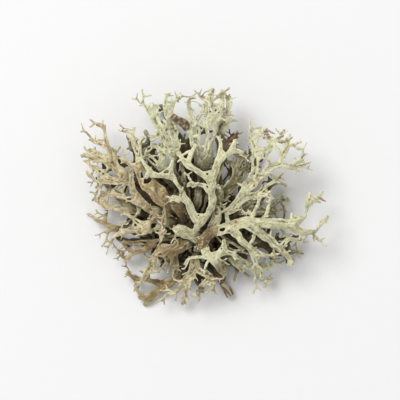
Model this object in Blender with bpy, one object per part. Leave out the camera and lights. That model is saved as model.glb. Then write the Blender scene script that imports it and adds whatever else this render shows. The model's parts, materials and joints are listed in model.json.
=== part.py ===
"""A dry clump of oakmoss lichen on a short piece of twig, lying on a table.

The twig lies at the bottom with its underside flat on z = 0. A crusty holdfast sits along its top,
and flat, forking fronds spread from the holdfast on all sides in three storeys: low ones whose tips
touch the table, middle ones, and a pale crown over the centre. Each main frond is one object. A few
loose bits of bark and leaf are caught between them. All tables are in millimetres, the meshes in metres.
"""

import math
from collections import namedtuple

import bmesh
import bpy
import numpy as np
from mathutils import Matrix, Vector

MM = 0.001
LOBE_THICKNESS = 0.7
TIP_THICKNESS = 0.5
GAP = 0.35                      # kept between two pieces that touch on the real thing
STOREY = LOBE_THICKNESS + 0.65  # least height between two fronds that cross
ROLL_DEG = 12.0                 # how far a frond's limbs turn about their own length
FULLNESS = 1.0                  # every lobe's breadth over the one in its table
TWIG_SIDES = 10
UP = Vector((0.0, 0.0, 1.0))

# (x, y, radius) along the twig. It lies on the table, so each ring's centre is as high as its radius.
TWIG = ((-12.6, 2.2, 3.0), (-8.6, -3.2, 3.4), (-3.6, -9.4, 3.3), (0.8, -15.2, 2.9), (4.2, -20.8, 2.4),
        (5.4, -24.8, 1.3), (6.2, -27.0, 1.2), (7.8, -29.6, 1.4))
HOLDFAST = ((-8.6, -3.2), (3.4, -19.6))   # the crust's ends, along the twig's top
HOLDFAST_HALF_WIDTH, HOLDFAST_TOP = 2.2, 9.0
SIDE_FOOT, LOW_FOOT = 3.2, 4.5            # from the twig's axis to a foot beside the crust, and to a low one

Strap = namedtuple("Strap", "points forks")


def strap(*points, forks=()):
    """A limb as (x, y, z, width) points, ending in a tip or in two more straps."""
    return Strap(points, forks)


def foot(along, side, height, width):
    """A frond's first point: on the crust's crest (side 0), or left (-1) or right (1) of it.

    along is the distance from the crust's left end. A foot below the twig's top stands off farther.
    """
    (xa, ya), (xb, yb) = HOLDFAST
    length = math.hypot(xb - xa, yb - ya)
    ahead = ((xb - xa) / length, (yb - ya) / length)
    offset = side * (SIDE_FOOT if height > 6.8 else LOW_FOOT)
    return (xa + ahead[0] * along - ahead[1] * offset, ya + ahead[1] * along + ahead[0] * offset, height, width)


# ---------------------------------------------------------------- the fronds, base first

CROWN_ARMS = (
    strap((-3.7, -4.0, 17.5, 1.9), (-5.2, -1.2, 18.8, 2.0), forks=(
        strap((-7.8, 0.0, 19.3, 1.1), (-10.0, 0.2, 18.8, 0.8)),
        strap((-7.2, 2.4, 18.8, 1.6), (-9.2, 5.2, 18.2, 1.6), forks=(
            strap((-12.0, 6.0, 18.4, 1.3), (-15.4, 6.9, 18.4, 1.2), forks=(
                strap((-18.2, 9.6, 18.2, 0.8), (-19.4, 11.6, 17.6, 0.6)),
                strap((-18.0, 6.2, 18.0, 0.7)))),
            strap((-9.9, 8.2, 17.8, 1.2), (-9.6, 11.4, 17.0, 0.8)))))),
    strap((0.9, -5.0, 17.5, 2.1), (2.0, -2.0, 19.8, 2.0), (2.0, 1.0, 21.6, 2.0), forks=(
        strap((-1.6, 3.2, 22.2, 1.0), (-5.4, 3.6, 21.8, 0.7)),
        strap((1.6, 4.6, 22.8, 2.7), forks=(
            strap((-2.2, 7.0, 22.8, 2.0), (-4.5, 9.6, 22.2, 1.7), forks=(
                strap((-7.2, 11.6, 21.4, 1.3), (-8.4, 14.4, 20.4, 0.8)),
                strap((-3.8, 12.8, 21.6, 1.2), (-2.6, 15.2, 20.8, 0.8)))),
            strap((2.8, 8.4, 23.2, 2.4), (4.4, 11.2, 22.8, 1.9), forks=(
                strap((7.6, 13.6, 22.2, 1.4), forks=(
                    strap((9.0, 17.0, 21.2, 0.7)),
                    strap((11.0, 12.8, 21.0, 0.7)))),
                strap((4.7, 15.0, 21.8, 1.1), (4.4, 17.8, 21.0, 0.7)))))))),
)

CROWN = strap(
    foot(11.4, 0, 9.9, 3.0), (-3.6, -11.0, 12.2, 4.0), forks=(
        strap((-6.4, -10.6, 13.2, 3.4), (-8.8, -8.8, 13.2, 1.9)),
        strap((-1.9, -8.0, 15.0, 3.0), forks=CROWN_ARMS),
    ))

RIGHT_LIMBS = (
    strap((13.4, -7.9, 16.0, 3.6), forks=(
        strap((19.4, -8.3, 15.4, 3.0), (25.6, -8.2, 14.4, 2.9), forks=(
            strap((28.8, -5.4, 13.2, 1.8), (30.4, -2.6, 12.2, 1.5), forks=(
                strap((31.6, 0.9, 11.0, 0.9)),
                strap((33.6, -1.6, 10.8, 1.0)))),
            strap((30.0, -10.4, 12.8, 1.9), (32.6, -10.6, 11.8, 1.8), forks=(
                strap((34.6, -7.4, 11.2, 1.4), (36.8, -5.7, 10.4, 0.9)),
                strap((32.4, -13.0, 10.0, 0.7)))))),
        strap((17.4, -12.0, 14.6, 2.4), (21.4, -14.4, 12.6, 2.2), forks=(
            strap((24.4, -12.0, 11.2, 1.1), (28.4, -11.6, 9.6, 0.8)),
            strap((24.6, -17.4, 10.6, 1.8), (25.2, -20.6, 8.6, 1.0)))))),
    strap((10.8, -12.6, 14.2, 2.0), (13.8, -16.0, 12.6, 1.8), forks=(
        strap((17.6, -17.4, 11.4, 1.0), (20.8, -17.6, 10.4, 0.7)),
        strap((15.4, -19.8, 10.8, 1.3), (17.0, -22.6, 9.2, 0.8)))),
)

RIGHT = strap(
    foot(12.0, 1, 9.0, 2.4), (1.8, -10.2, 11.6, 3.6), forks=(
        strap((3.2, -6.4, 12.8, 3.0), (3.6, -3.0, 12.6, 1.8)),
        strap((7.0, -8.4, 14.6, 3.4), forks=RIGHT_LIMBS),
    ))

UPPER_RIGHT = strap(
    (6.3, -4.6, 14.2, 1.8), (8.6, -2.8, 15.0, 2.2), (10.8, -0.4, 15.8, 2.5), forks=(
        strap((13.2, 3.4, 17.0, 2.8), forks=(
            strap((14.8, 8.4, 17.4, 2.3), (15.2, 12.4, 16.8, 2.1), forks=(
                strap((14.4, 15.8, 15.8, 1.4), forks=(
                    strap((12.8, 17.6, 14.8, 0.8)),
                    strap((15.8, 19.0, 14.6, 0.9), (19.0, 19.6, 13.6, 0.6)))),
                strap((18.2, 14.0, 15.8, 1.5), forks=(
                    strap((18.6, 17.2, 14.8, 0.9)),
                    strap((21.4, 16.2, 14.6, 1.1), (22.8, 18.4, 13.6, 0.7)))))),
            strap((17.8, 7.4, 16.8, 2.2), (21.2, 8.8, 15.8, 2.0), forks=(
                strap((22.6, 12.6, 15.2, 1.3), (24.8, 15.8, 13.8, 0.8)),
                strap((25.4, 9.0, 14.8, 1.4), forks=(
                    strap((28.6, 12.0, 13.2, 0.8)),
                    strap((29.6, 9.2, 13.2, 0.8)))))))),
        strap((14.8, 0.7, 16.0, 1.6), forks=(
            strap((18.0, 3.4, 15.4, 1.1), (21.4, 5.2, 14.0, 0.7)),
            strap((19.4, 0.2, 15.6, 1.1)))),
    ))

INNER_RIGHT = strap(
    foot(9.2, 1, 5.4, 2.0), (4.2, -0.6, 9.6, 2.3), (8.8, 4.4, 11.6, 2.2), forks=(
        strap((8.6, 9.0, 12.2, 2.0), (11.0, 11.6, 12.0, 1.2)),
        strap((12.4, 7.6, 12.2, 2.1), (12.7, 11.4, 12.4, 1.6), forks=(
            strap((11.4, 14.2, 12.0, 0.8)),
            strap((14.0, 13.8, 12.0, 0.7)))),
    ))

TOP = strap(
    foot(4.2, 1, 8.2, 2.2), (-1.6, 2.0, 11.8, 2.8), (-0.6, 9.4, 15.2, 3.0), forks=(
        strap((-3.2, 14.4, 16.4, 2.2), (-3.6, 19.0, 15.6, 2.0), forks=(
            strap((-5.0, 23.4, 14.4, 1.3), (-4.6, 28.0, 12.6, 0.9)),
            strap((-1.8, 23.6, 14.4, 1.3), (-0.4, 27.6, 12.8, 0.7)))),
        strap((1.4, 15.6, 16.6, 3.0), (1.8, 21.6, 15.8, 3.2), forks=(
            strap((1.6, 27.0, 14.4, 2.4), forks=(
                strap((-1.2, 30.6, 12.8, 0.9)),
                strap((1.8, 32.8, 12.4, 1.3)))),
            strap((4.6, 26.4, 14.2, 1.5), (5.4, 31.2, 12.2, 1.0)))),
    ))

TOP_RIGHT = strap(
    foot(7.5, 1, 8.2, 2.2), (2.0, 0.8, 11.6, 2.4), (4.0, 8.6, 13.2, 2.6), (4.2, 14.6, 13.6, 2.4), forks=(
        strap((5.0, 20.0, 13.0, 2.0), forks=(
            strap((6.4, 25.4, 12.0, 1.5), (7.2, 29.8, 10.8, 1.1)),
            strap((7.6, 23.2, 12.0, 0.9)))),
        strap((8.4, 14.6, 12.8, 1.2), (9.6, 11.8, 12.0, 0.8)),
    ))

TOP_LEFT = strap(
    foot(0.8, 1, 8.2, 2.2), (-6.8, 5.4, 12.2, 2.6), (-9.0, 12.6, 14.8, 2.8), forks=(
        strap((-12.6, 18.0, 14.8, 2.6), forks=(
            strap((-16.2, 16.6, 13.6, 1.0)),
            strap((-13.9, 22.6, 14.0, 2.2), forks=(
                strap((-16.8, 25.2, 12.8, 1.4), (-18.8, 28.4, 11.6, 0.9)),
                strap((-14.8, 27.6, 12.6, 1.0)))))),
        strap((-9.4, 18.8, 14.6, 2.2), (-11.0, 24.2, 13.6, 1.9), forks=(
            strap((-11.0, 30.8, 11.6, 0.9)),
            strap((-8.4, 28.8, 12.4, 0.9), (-5.8, 29.4, 11.8, 0.5)))),
    ))

INNER_TOP = strap(
    foot(1.2, 1, 4.4, 2.0), (-5.0, 7.4, 7.4, 2.4), (-5.2, 13.6, 8.6, 2.4), forks=(
        strap((-8.2, 18.6, 6.6, 1.8), (-12.4, 23.2, 2.6, 1.2), (-13.4, 27.8, 0.5, 1.0)),
        strap((-2.4, 18.8, 7.6, 1.8), (1.6, 22.4, 4.0, 1.2), (3.4, 26.4, 0.5, 1.0)),
    ))

MID_LEFT = strap(
    foot(-2.8, 1, 9.0, 2.2), (-10.2, 5.0, 12.2, 2.2), (-12.2, 8.6, 13.4, 2.2), forks=(
        strap((-16.6, 11.2, 12.6, 1.6), (-19.6, 14.8, 11.2, 0.8)),
        strap((-12.4, 13.0, 13.0, 1.6), forks=(
            strap((-15.2, 15.4, 12.0, 0.9)),
            strap((-12.2, 16.6, 12.0, 0.8)))),
    ))

INNER_LEFT = strap(
    foot(-3.4, -1, 3.6, 1.8), (-18.2, 3.2, 4.6, 2.2), (-20.2, 9.0, 5.6, 2.4), forks=(
        strap((-24.4, 9.2, 3.6, 1.6), (-30.4, 8.4, 0.5, 1.0)),
        strap((-20.2, 12.8, 4.6, 1.6), (-22.6, 16.4, 2.2, 0.9)),
    ))

WINDOW = strap(
    foot(0.8, 0, 9.8, 2.6), (-12.4, -0.8, 13.4, 4.4), (-16.4, 3.2, 15.2, 5.8), (-18.8, 8.0, 15.8, 3.8),
    forks=(
        strap((-21.8, 9.4, 15.8, 1.4), (-24.6, 11.6, 15.0, 0.9)),
        strap((-20.4, 12.6, 15.8, 1.8), forks=(
            strap((-21.2, 16.4, 15.2, 1.2), forks=(
                strap((-23.2, 19.4, 14.0, 0.6)),
                strap((-21.2, 20.6, 14.0, 0.7)))),
            strap((-18.2, 17.6, 14.8, 0.7)))),
    ))

ROSY = strap(
    foot(0.4, -1, 8.6, 2.2), (-16.4, -4.2, 12.4, 2.4), (-19.6, -1.0, 14.8, 2.2), forks=(
        strap((-23.8, -0.2, 14.0, 1.6), (-28.0, 0.8, 12.4, 1.0)),
        strap((-21.6, 3.2, 15.6, 1.8), (-21.8, 6.6, 15.8, 1.2)),
    ))

UPPER_LEFT = strap(
    foot(-3.4, -1, 7.8, 2.2), (-17.6, 1.6, 9.6, 3.0), (-22.6, 5.0, 11.0, 3.3), forks=(
        strap((-28.0, 5.2, 10.4, 2.2), forks=(
            strap((-32.4, 4.4, 9.0, 1.2), (-35.8, 7.4, 7.4, 0.7)),
            strap((-32.6, 8.4, 9.4, 1.4), (-35.6, 10.4, 8.0, 0.8)))),
        strap((-26.8, 9.8, 11.4, 2.9), forks=(
            strap((-31.4, 11.8, 10.4, 2.2), forks=(
                strap((-35.0, 11.4, 9.0, 1.0), (-37.0, 12.6, 8.0, 0.7)),
                strap((-34.4, 14.8, 8.8, 1.1)))),
            strap((-28.0, 14.2, 10.8, 1.9), forks=(
                strap((-31.6, 16.2, 9.8, 1.3), (-34.2, 17.6, 8.8, 0.8)),
                strap((-29.4, 18.0, 9.8, 1.2), (-29.8, 21.4, 8.8, 0.8)))))),
    ))

LEFT = strap(
    foot(0.4, -1, 4.4, 2.2), (-17.8, -4.8, 7.0, 2.4), (-22.6, -2.8, 8.2, 2.8), forks=(
        strap((-27.4, -3.4, 8.0, 2.6), (-30.8, -1.8, 7.2, 1.7), (-33.2, -0.4, 6.4, 1.4)),
        strap((-26.6, 1.0, 7.6, 1.7), forks=(
            strap((-30.6, 0.9, 6.6, 0.9)),
            strap((-30.0, 3.6, 6.4, 1.0), (-32.2, 2.4, 5.6, 0.6)))),
    ))

LOWER_LEFT = strap(
    foot(3.8, -1, 8.6, 2.2), (-13.4, -7.8, 11.6, 3.2), (-17.4, -9.0, 12.6, 2.8), forks=(
        strap((-20.6, -6.6, 12.2, 1.2), (-23.2, -4.6, 11.2, 0.8)),
        strap((-21.6, -10.2, 12.0, 2.0), (-24.8, -10.6, 10.8, 1.4), forks=(
            strap((-24.4, -7.0, 9.8, 1.0)),
            strap((-27.0, -12.4, 9.4, 0.7), (-28.2, -14.0, 8.4, 0.5)))),
    ))

WISP = strap(
    foot(4.4, -1, 4.4, 1.8), (-16.6, -11.4, 6.2, 1.8), (-22.4, -9.8, 6.2, 1.6), (-26.4, -9.4, 5.4, 1.4),
    forks=(
        strap((-30.0, -10.8, 3.8, 0.7)),
        strap((-29.8, -8.0, 4.6, 1.1), forks=(
            strap((-32.8, -6.8, 3.2, 0.8), (-35.0, -4.6, 0.5, 0.7)),
            strap((-29.6, -4.8, 3.4, 0.6)))),
    ))

TANGLE = strap(
    foot(7.3, -1, 8.6, 2.2), (-11.8, -12.8, 10.8, 2.2), (-15.6, -13.8, 9.6, 2.0), forks=(
        strap((-20.0, -12.8, 8.0, 1.3), (-24.6, -13.8, 6.4, 0.7)),
        strap((-19.4, -16.4, 7.0, 1.4), forks=(
            strap((-22.8, -15.8, 5.6, 0.8)),
            strap((-23.2, -18.6, 4.2, 0.9), (-26.2, -15.4, 2.8, 0.6)))),
    ))

HOOK = strap(
    foot(10.8, -1, 8.6, 2.2), (-8.8, -15.4, 11.4, 3.4), forks=(
        strap((-9.6, -18.6, 10.4, 3.0), (-8.6, -21.4, 8.6, 1.6)),
        strap((-13.4, -16.0, 10.8, 2.2), forks=(
            strap((-13.4, -12.4, 12.2, 1.5), (-11.4, -9.4, 13.2, 1.1)),
            strap((-15.8, -19.6, 8.6, 1.8), forks=(
                strap((-18.0, -23.4, 6.6, 1.2), (-20.0, -26.4, 5.0, 0.9)),
                strap((-13.4, -22.0, 7.4, 1.2)))))),
    ))

ANTLER = strap(
    foot(14.6, -1, 3.4, 2.0), (-5.6, -22.2, 4.6, 2.4), (-9.2, -25.0, 4.4, 2.7), (-12.6, -26.4, 3.8, 2.6),
    forks=(
        strap((-16.2, -24.0, 3.8, 1.4), (-19.4, -24.2, 3.4, 1.2), forks=(
            strap((-23.0, -24.0, 2.8, 0.9), (-24.0, -22.4, 3.2, 0.5)),
            strap((-20.6, -28.6, 2.6, 1.0)))),
        strap((-15.4, -29.6, 2.4, 1.8), forks=(
            strap((-20.2, -30.0, 1.4, 1.1)),
            strap((-18.4, -33.0, 0.5, 1.0)))),
    ))

FRILL = strap(
    foot(14.6, -1, 8.4, 2.2), (-2.8, -20.8, 10.4, 3.2), forks=(
        strap((-5.2, -24.8, 8.8, 1.9), forks=(
            strap((-8.0, -27.0, 7.0, 0.8), (-11.2, -29.0, 5.2, 0.6)),
            strap((-5.6, -28.6, 6.0, 1.3), (-7.0, -31.8, 3.6, 0.8)))),
        strap((0.6, -23.0, 9.8, 2.4), forks=(
            strap((-1.8, -26.8, 7.8, 1.4), (-0.6, -28.2, 6.6, 0.8)),
            strap((2.4, -25.6, 8.4, 1.1)))),
    ))

WEB = strap(
    foot(13.6, 0, 10.2, 2.4), (0.4, -17.4, 13.2, 2.6), forks=(
        strap((-3.6, -18.0, 13.4, 1.2), (-5.8, -19.8, 12.6, 0.9)),
        strap((3.0, -18.0, 13.6, 3.4), forks=(
            strap((4.8, -20.8, 12.6, 3.2), (6.2, -22.8, 10.8, 1.8)),
            strap((5.8, -16.4, 13.6, 1.5), forks=(
                strap((9.0, -16.6, 12.6, 0.8)),
                strap((5.6, -11.8, 12.6, 0.9)))))),
    ))

SADDLE = strap(
    foot(5.0, 0, 9.9, 2.8), (-6.4, -5.0, 12.2, 4.2), (-8.2, -2.2, 13.4, 4.4), forks=(
        strap((-8.6, 1.2, 12.6, 1.8)),
        strap((-5.8, -0.2, 13.6, 1.8)),
    ))

LOWER_RIGHT = strap(
    foot(17.4, 1, 7.6, 2.2), (7.4, -16.8, 9.4, 2.6), (10.4, -19.6, 8.6, 2.6), forks=(
        strap((14.6, -20.8, 7.4, 2.3), forks=(
            strap((16.0, -24.4, 5.6, 1.3), (19.6, -24.8, 3.8, 0.8)),
            strap((19.0, -20.8, 6.2, 1.3), (21.4, -19.4, 5.4, 0.7)))),
        strap((10.6, -22.2, 6.4, 0.7)),
    ))

UNDER_RIGHT = strap(
    foot(12.6, 1, 4.6, 2.0), (8.2, -5.4, 6.4, 2.6), (12.6, -3.6, 7.0, 2.8), forks=(
        strap((16.2, -0.8, 6.8, 1.9), (19.4, 3.2, 5.2, 1.0), forks=(
            strap((19.0, 6.2, 3.6, 0.7)),
            strap((22.4, 4.6, 3.4, 0.8)))),
        strap((17.2, -4.6, 6.2, 1.8), forks=(
            strap((21.2, -1.6, 4.2, 1.3), (24.8, -0.4, 0.5, 1.0)),
            strap((21.8, -4.6, 4.2, 1.1)))),
    ))

LOW_RIGHT = strap(
    foot(15.6, 1, 4.2, 2.0), (10.0, -13.0, 6.4, 2.4), (15.4, -13.4, 6.4, 2.2), forks=(
        strap((20.6, -12.6, 5.4, 1.8), (25.6, -13.6, 4.0, 1.8), (28.8, -11.6, 2.8, 0.9)),
        strap((19.8, -16.6, 4.6, 1.7), (24.6, -16.8, 2.4, 1.2), (29.4, -16.9, 0.5, 0.9)),
    ))

DARK_INNER = strap(
    foot(5.6, 1, 4.2, 2.0), (5.0, 2.0, 6.2, 2.2), (7.6, 6.8, 6.6, 2.0), forks=(
        strap((5.4, 11.2, 6.0, 1.4), (6.4, 17.4, 4.6, 1.0), (9.0, 18.6, 3.6, 0.6)),
        strap((12.2, 8.4, 5.4, 1.4), (16.8, 11.8, 0.5, 1.0)),
    ))

PALE, GREY_GREEN, OLIVE, TAN, BROWN = "pale_lobe", "grey_green_lobe", "olive_lobe", "tan_lobe", "brown_lobe"

FRONDS = {
    "crown_frond": (CROWN, PALE),
    "right_frond": (RIGHT, PALE),
    "upper_right_frond": (UPPER_RIGHT, PALE),
    "top_frond": (TOP, GREY_GREEN),
    "top_right_frond": (TOP_RIGHT, PALE),
    "top_left_frond": (TOP_LEFT, GREY_GREEN),
    "middle_left_frond": (MID_LEFT, GREY_GREEN),
    "window_frond": (WINDOW, TAN),
    "rosy_frond": (ROSY, TAN),
    "upper_left_frond": (UPPER_LEFT, TAN),
    "left_frond": (LEFT, TAN),
    "lower_left_frond": (LOWER_LEFT, TAN),
    "wispy_left_frond": (WISP, BROWN),
    "tangled_left_frond": (TANGLE, BROWN),
    "hooked_frond": (HOOK, TAN),
    "antler_frond": (ANTLER, BROWN),
    "frilled_bottom_frond": (FRILL, TAN),
    "web_frond": (WEB, PALE),
    "saddle_frond": (SADDLE, BROWN),
    "lower_right_frond": (LOWER_RIGHT, GREY_GREEN),
    "under_right_frond": (UNDER_RIGHT, OLIVE),
    "low_right_frond": (LOW_RIGHT, OLIVE),
    "inner_right_frond": (INNER_RIGHT, OLIVE),
    "inner_top_frond": (INNER_TOP, OLIVE),
    "inner_left_frond": (INNER_LEFT, OLIVE),
    "dark_inner_frond": (DARK_INNER, BROWN),
}

COLOURS = {
    PALE: (0.56, 0.58, 0.44), GREY_GREEN: (0.48, 0.52, 0.40), OLIVE: (0.25, 0.26, 0.17),
    TAN: (0.46, 0.37, 0.24), BROWN: (0.27, 0.20, 0.12), "bark": (0.16, 0.11, 0.07),
    "crust": (0.30, 0.25, 0.17), "leaf": (0.42, 0.22, 0.08),
}


# ---------------------------------------------------------------- a frond's rows

class Row:
    """One cross-section of a limb: its middle, width, heading and roll."""

    def __init__(self, point, fixed):
        self.x, self.y, self.z, self.width = point
        self.width *= FULLNESS
        self.fixed = fixed
        self.heading = None
        self.roll = 0.0

    @property
    def place(self):
        return Vector((self.x, self.y, self.z))


class Limb:
    """The rows of one strap, with the limbs that fork from its last row."""

    def __init__(self, design, parent, turn, is_base=False):
        self.parent = parent
        self.rows = [Row(point, is_base and n == 0) for n, point in enumerate(design.points)]
        for row in self.rows:
            row.roll = turn
        self.forks = [Limb(child, self, turn_of(child, turn)) for child in design.forks]

    def limbs(self):
        yield self
        for fork in self.forks:
            yield from fork.limbs()

    def joined_rows(self):
        """Pairs of rows that the frond's skin joins."""
        before = [self.parent.rows[-1]] if self.parent else []
        path = before + self.rows
        return list(zip(path, path[1:]))


def turn_of(design, parent_turn):
    """A limb's roll: half its parent's, and a swing set by where it points."""
    x, y = design.points[0][:2]
    swing = math.sin(1.7 * x + 2.3 * y)
    return 0.5 * parent_turn + math.radians(ROLL_DEG) * swing


def set_headings(root):
    for limb in root.limbs():
        path = ([limb.parent.rows[-1]] if limb.parent else []) + limb.rows
        for n, row in enumerate(path):
            if row.heading is None or row in limb.rows:
                ahead = path[min(n + 1, len(path) - 1)].place
                behind = path[max(n - 1, 0)].place
                row.heading = (ahead - behind).normalized()


# ---------------------------------------------------------------- room between the fronds

SAMPLES = 4       # places tested between two rows
FOOT_SHARE = 0.5  # the part of the way from a foot to the next row that isn't tested
ROUNDS = 400
STIFFNESS = 0.06  # how strongly a row follows its neighbours' lifts


def twig_samples():
    """(x, y, z, half width, half height) of spheres along the twig and of the holdfast on it."""
    found = []
    for (xa, ya, ra), (xb, yb, rb) in zip(TWIG, TWIG[1:]):
        for share in np.linspace(0, 1, 5):
            radius = ra + (rb - ra) * share
            found.append((xa + (xb - xa) * share, ya + (yb - ya) * share, radius, radius, radius))
    (xa, ya), (xb, yb) = HOLDFAST
    for share in np.linspace(0, 1, 10):
        found.append((xa + (xb - xa) * share, ya + (yb - ya) * share, HOLDFAST_TOP - 1.0,
                      HOLDFAST_HALF_WIDTH, 1.0))
    return found


def mix(values, spans):
    """Values at the tested places, from the values at the rows."""
    first, last, share = spans
    return (values[first].T * (1 - share) + values[last].T * share).T


def pull(moves, weights, spans, chosen, amounts):
    """Adds a wished move of some tested places to the rows on both sides of them."""
    first, last, share = spans
    for rows, part in ((first[chosen], 1 - share[chosen]), (last[chosen], share[chosen])):
        np.add.at(moves, rows, amounts * part)
        np.add.at(weights, rows, (amounts != 0) * part)


def make_room(roots):
    """Lifts and lowers rows until fronds that cross, and the twig below them, are a storey apart."""
    limbs = [limb for root in roots for limb in root.limbs()]
    rows = [row for limb in limbs for row in limb.rows]
    index = {id(row): n for n, row in enumerate(rows)}
    frond_of = {id(limb): n for n, root in enumerate(roots) for limb in root.limbs()}
    joined = [(index[id(a)], index[id(b)], n, frond_of[id(limb)])
              for n, limb in enumerate(limbs) for a, b in limb.joined_rows()]
    first, last, limb_of, frond = np.repeat(np.array(joined), SAMPLES, axis=0).T
    spans = first, last, np.tile((np.arange(SAMPLES) + 0.5) / SAMPLES, len(joined))

    design = np.array([row.z for row in rows])
    width = np.array([row.width for row in rows])
    rise = 0.5 * width * np.abs(np.sin([row.roll for row in rows]))
    loose = np.array([not row.fixed for row in rows], float)
    places = mix(np.array([(row.x, row.y) for row in rows]), spans)
    half, tilt = mix(width, spans) / 2, mix(rise, spans)
    heights = mix(design, spans)

    apart = np.linalg.norm(places[:, None] - places[None], axis=2)
    free = (loose[first] > 0) | (spans[2] > FOOT_SHARE)
    crossing = (apart < half[:, None] + half[None] + GAP) & (frond[:, None] < frond[None])
    crossing &= free[:, None] & free[None]
    one, other = np.nonzero(crossing)
    order = np.zeros((len(limbs), len(limbs)))
    np.add.at(order, (limb_of[one], limb_of[other]), heights[one] - heights[other])
    way = np.where(order[limb_of[one], limb_of[other]] >= 0, 1.0, -1.0)
    need = STOREY + tilt[one] + tilt[other]

    still = np.array(twig_samples())
    to_twig = np.linalg.norm(places[:, None] - still[None, :, :2], axis=2)
    lobe, part = np.nonzero((to_twig < half[:, None] + still[None, :, 3] + GAP) & free[:, None])
    reach = still[part, 2] + still[part, 4] + LOBE_THICKNESS + GAP + tilt[lobe]

    z = design.copy()
    for _ in range(ROUNDS):
        moves, weights = np.zeros(len(z)), np.full(len(z), 1e-6)
        heights = mix(z, spans)
        short = np.clip(need - (heights[one] - heights[other]) * way, 0, None) / 2
        pull(moves, weights, spans, one, short * way)
        pull(moves, weights, spans, other, -short * way)
        pull(moves, weights, spans, lobe, np.clip(reach - heights[lobe], 0, None))
        z = z + loose * moves / weights
        bend = np.zeros(len(z))
        bonds = np.full(len(z), 1e-6)
        shift = z - design
        for a, b in ((first, last), (last, first)):
            np.add.at(bend, a, shift[b] - shift[a])
            np.add.at(bonds, a, 1.0)
        z = z + loose * STIFFNESS * bend / bonds
        z = np.maximum(z, LOBE_THICKNESS / 2 + 0.02 + rise)
    for row, height in zip(rows, z):
        row.z = float(height)


# ---------------------------------------------------------------- the skin of a frond

def section(bm, row, thickness):
    """The four corners of a limb's cross-section: top left, top right, bottom right, bottom left."""
    flat = Vector((row.heading.x, row.heading.y, 0.0)).normalized()
    across = flat.cross(UP)
    across.rotate(Matrix.Rotation(row.roll, 3, row.heading))
    normal = across.cross(row.heading).normalized()
    side, lift = across * row.width / 2, normal * thickness / 2
    corners = (-side + lift, side + lift, side - lift, -side - lift)
    return [bm.verts.new((row.place + corner) * MM) for corner in corners]


def thickness_of(row):
    return TIP_THICKNESS + (LOBE_THICKNESS - TIP_THICKNESS) * min(1.0, (row.width - 0.5) / 1.5)


def join_sections(bm, one, other):
    for n in range(4):
        m = (n + 1) % 4
        bm.faces.new((one[n], one[m], other[m], other[n]))


def join_fork(bm, parent_row, parent, left, right):
    """The web between a limb's last section and the first sections of the two limbs that fork from it."""
    tl, tr, br, bl = parent
    inner = (left[1].co + left[2].co + right[0].co + right[3].co) / 4
    centre = parent_row.place * MM
    axil = centre + (inner - centre) * 0.5
    half = (tl.co - bl.co) / 2
    top, bottom = bm.verts.new(axil + half), bm.verts.new(axil - half)
    for face in (
        (tl, tr, top), (tl, top, left[1], left[0]), (tr, right[1], right[0], top),
        (bl, br, bottom), (bl, bottom, left[2], left[3]), (br, right[2], right[3], bottom),
        (tl, bl, left[3], left[0]), (tr, br, right[2], right[1]),
        (left[1], top, bottom, left[2]), (right[0], top, bottom, right[3]),
    ):
        bm.faces.new(face)


def skin_limb(bm, limb, base=None):
    sections = [section(bm, row, thickness_of(row)) for row in limb.rows]
    if base is None:
        bm.faces.new(sections[0])
    for one, other in zip(sections, sections[1:]):
        join_sections(bm, one, other)
    if not limb.forks:
        bm.faces.new(sections[-1])
        return sections[0]
    end = limb.rows[-1]
    side = Vector((end.heading.x, end.heading.y, 0.0)).cross(UP)
    left, right = sorted(limb.forks, key=lambda fork: (fork.rows[0].place - end.place).dot(side))
    firsts = [skin_limb(bm, fork, sections[-1]) for fork in (left, right)]
    join_fork(bm, end, sections[-1], *firsts)
    return sections[0]


def add_object(name, bm, colour_name):
    bmesh.ops.recalc_face_normals(bm, faces=bm.faces)
    bmesh.ops.triangulate(bm, faces=bm.faces)
    mesh = bpy.data.meshes.new(name)
    bm.to_mesh(mesh)
    bm.free()
    mesh.materials.append(material(colour_name))
    obj = bpy.data.objects.new(name, mesh)
    bpy.context.scene.collection.objects.link(obj)
    return obj


def make_fronds():
    roots = {name: Limb(design, None, 0.0, is_base=True) for name, (design, _) in FRONDS.items()}
    make_room(list(roots.values()))
    for name, root in roots.items():
        set_headings(root)
        bm = bmesh.new()
        skin_limb(bm, root)
        add_object(name, bm, FRONDS[name][1])


# ---------------------------------------------------------------- twig, holdfast and caught bits

def ring_round(bm, centre, across, upward, radii):
    """A ring of vertices with its lowest side level, so that it can lie flat."""
    ring = []
    for n, radius in enumerate(radii):
        angle = 2 * math.pi * (n + 0.5) / len(radii) - math.pi / 2
        ring.append(bm.verts.new((centre + across * radius * math.cos(angle)
                                  + upward * radius * math.sin(angle)) * MM))
    return ring


def loft(bm, rings):
    for one, other in zip(rings, rings[1:]):
        for n in range(len(one)):
            m = (n + 1) % len(one)
            bm.faces.new((one[n], one[m], other[m], other[n]))
    bm.faces.new(rings[0])
    bm.faces.new(rings[-1])


def make_twig():
    """A crooked twig, broken at both ends, whose lowest facets all lie on z = 0."""
    bm = bmesh.new()
    rings = []
    for n, (x, y, radius) in enumerate(TWIG):
        xa, ya, _ = TWIG[max(n - 1, 0)]
        xb, yb, _ = TWIG[min(n + 1, len(TWIG) - 1)]
        along = Vector((xb - xa, yb - ya, 0)).normalized()
        flat_radius = radius / math.cos(math.pi / TWIG_SIDES)
        radii = []
        for side in range(TWIG_SIDES):
            knobbly = 1 + 0.09 * math.sin(2.4 * side + 1.9 * n) if 2 <= side <= 7 else 1.0
            radii.append(flat_radius * knobbly)
        rings.append(ring_round(bm, Vector((x, y, radius)), along.cross(UP), UP, radii))
    loft(bm, rings)
    add_object("twig", bm, "bark")


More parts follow.
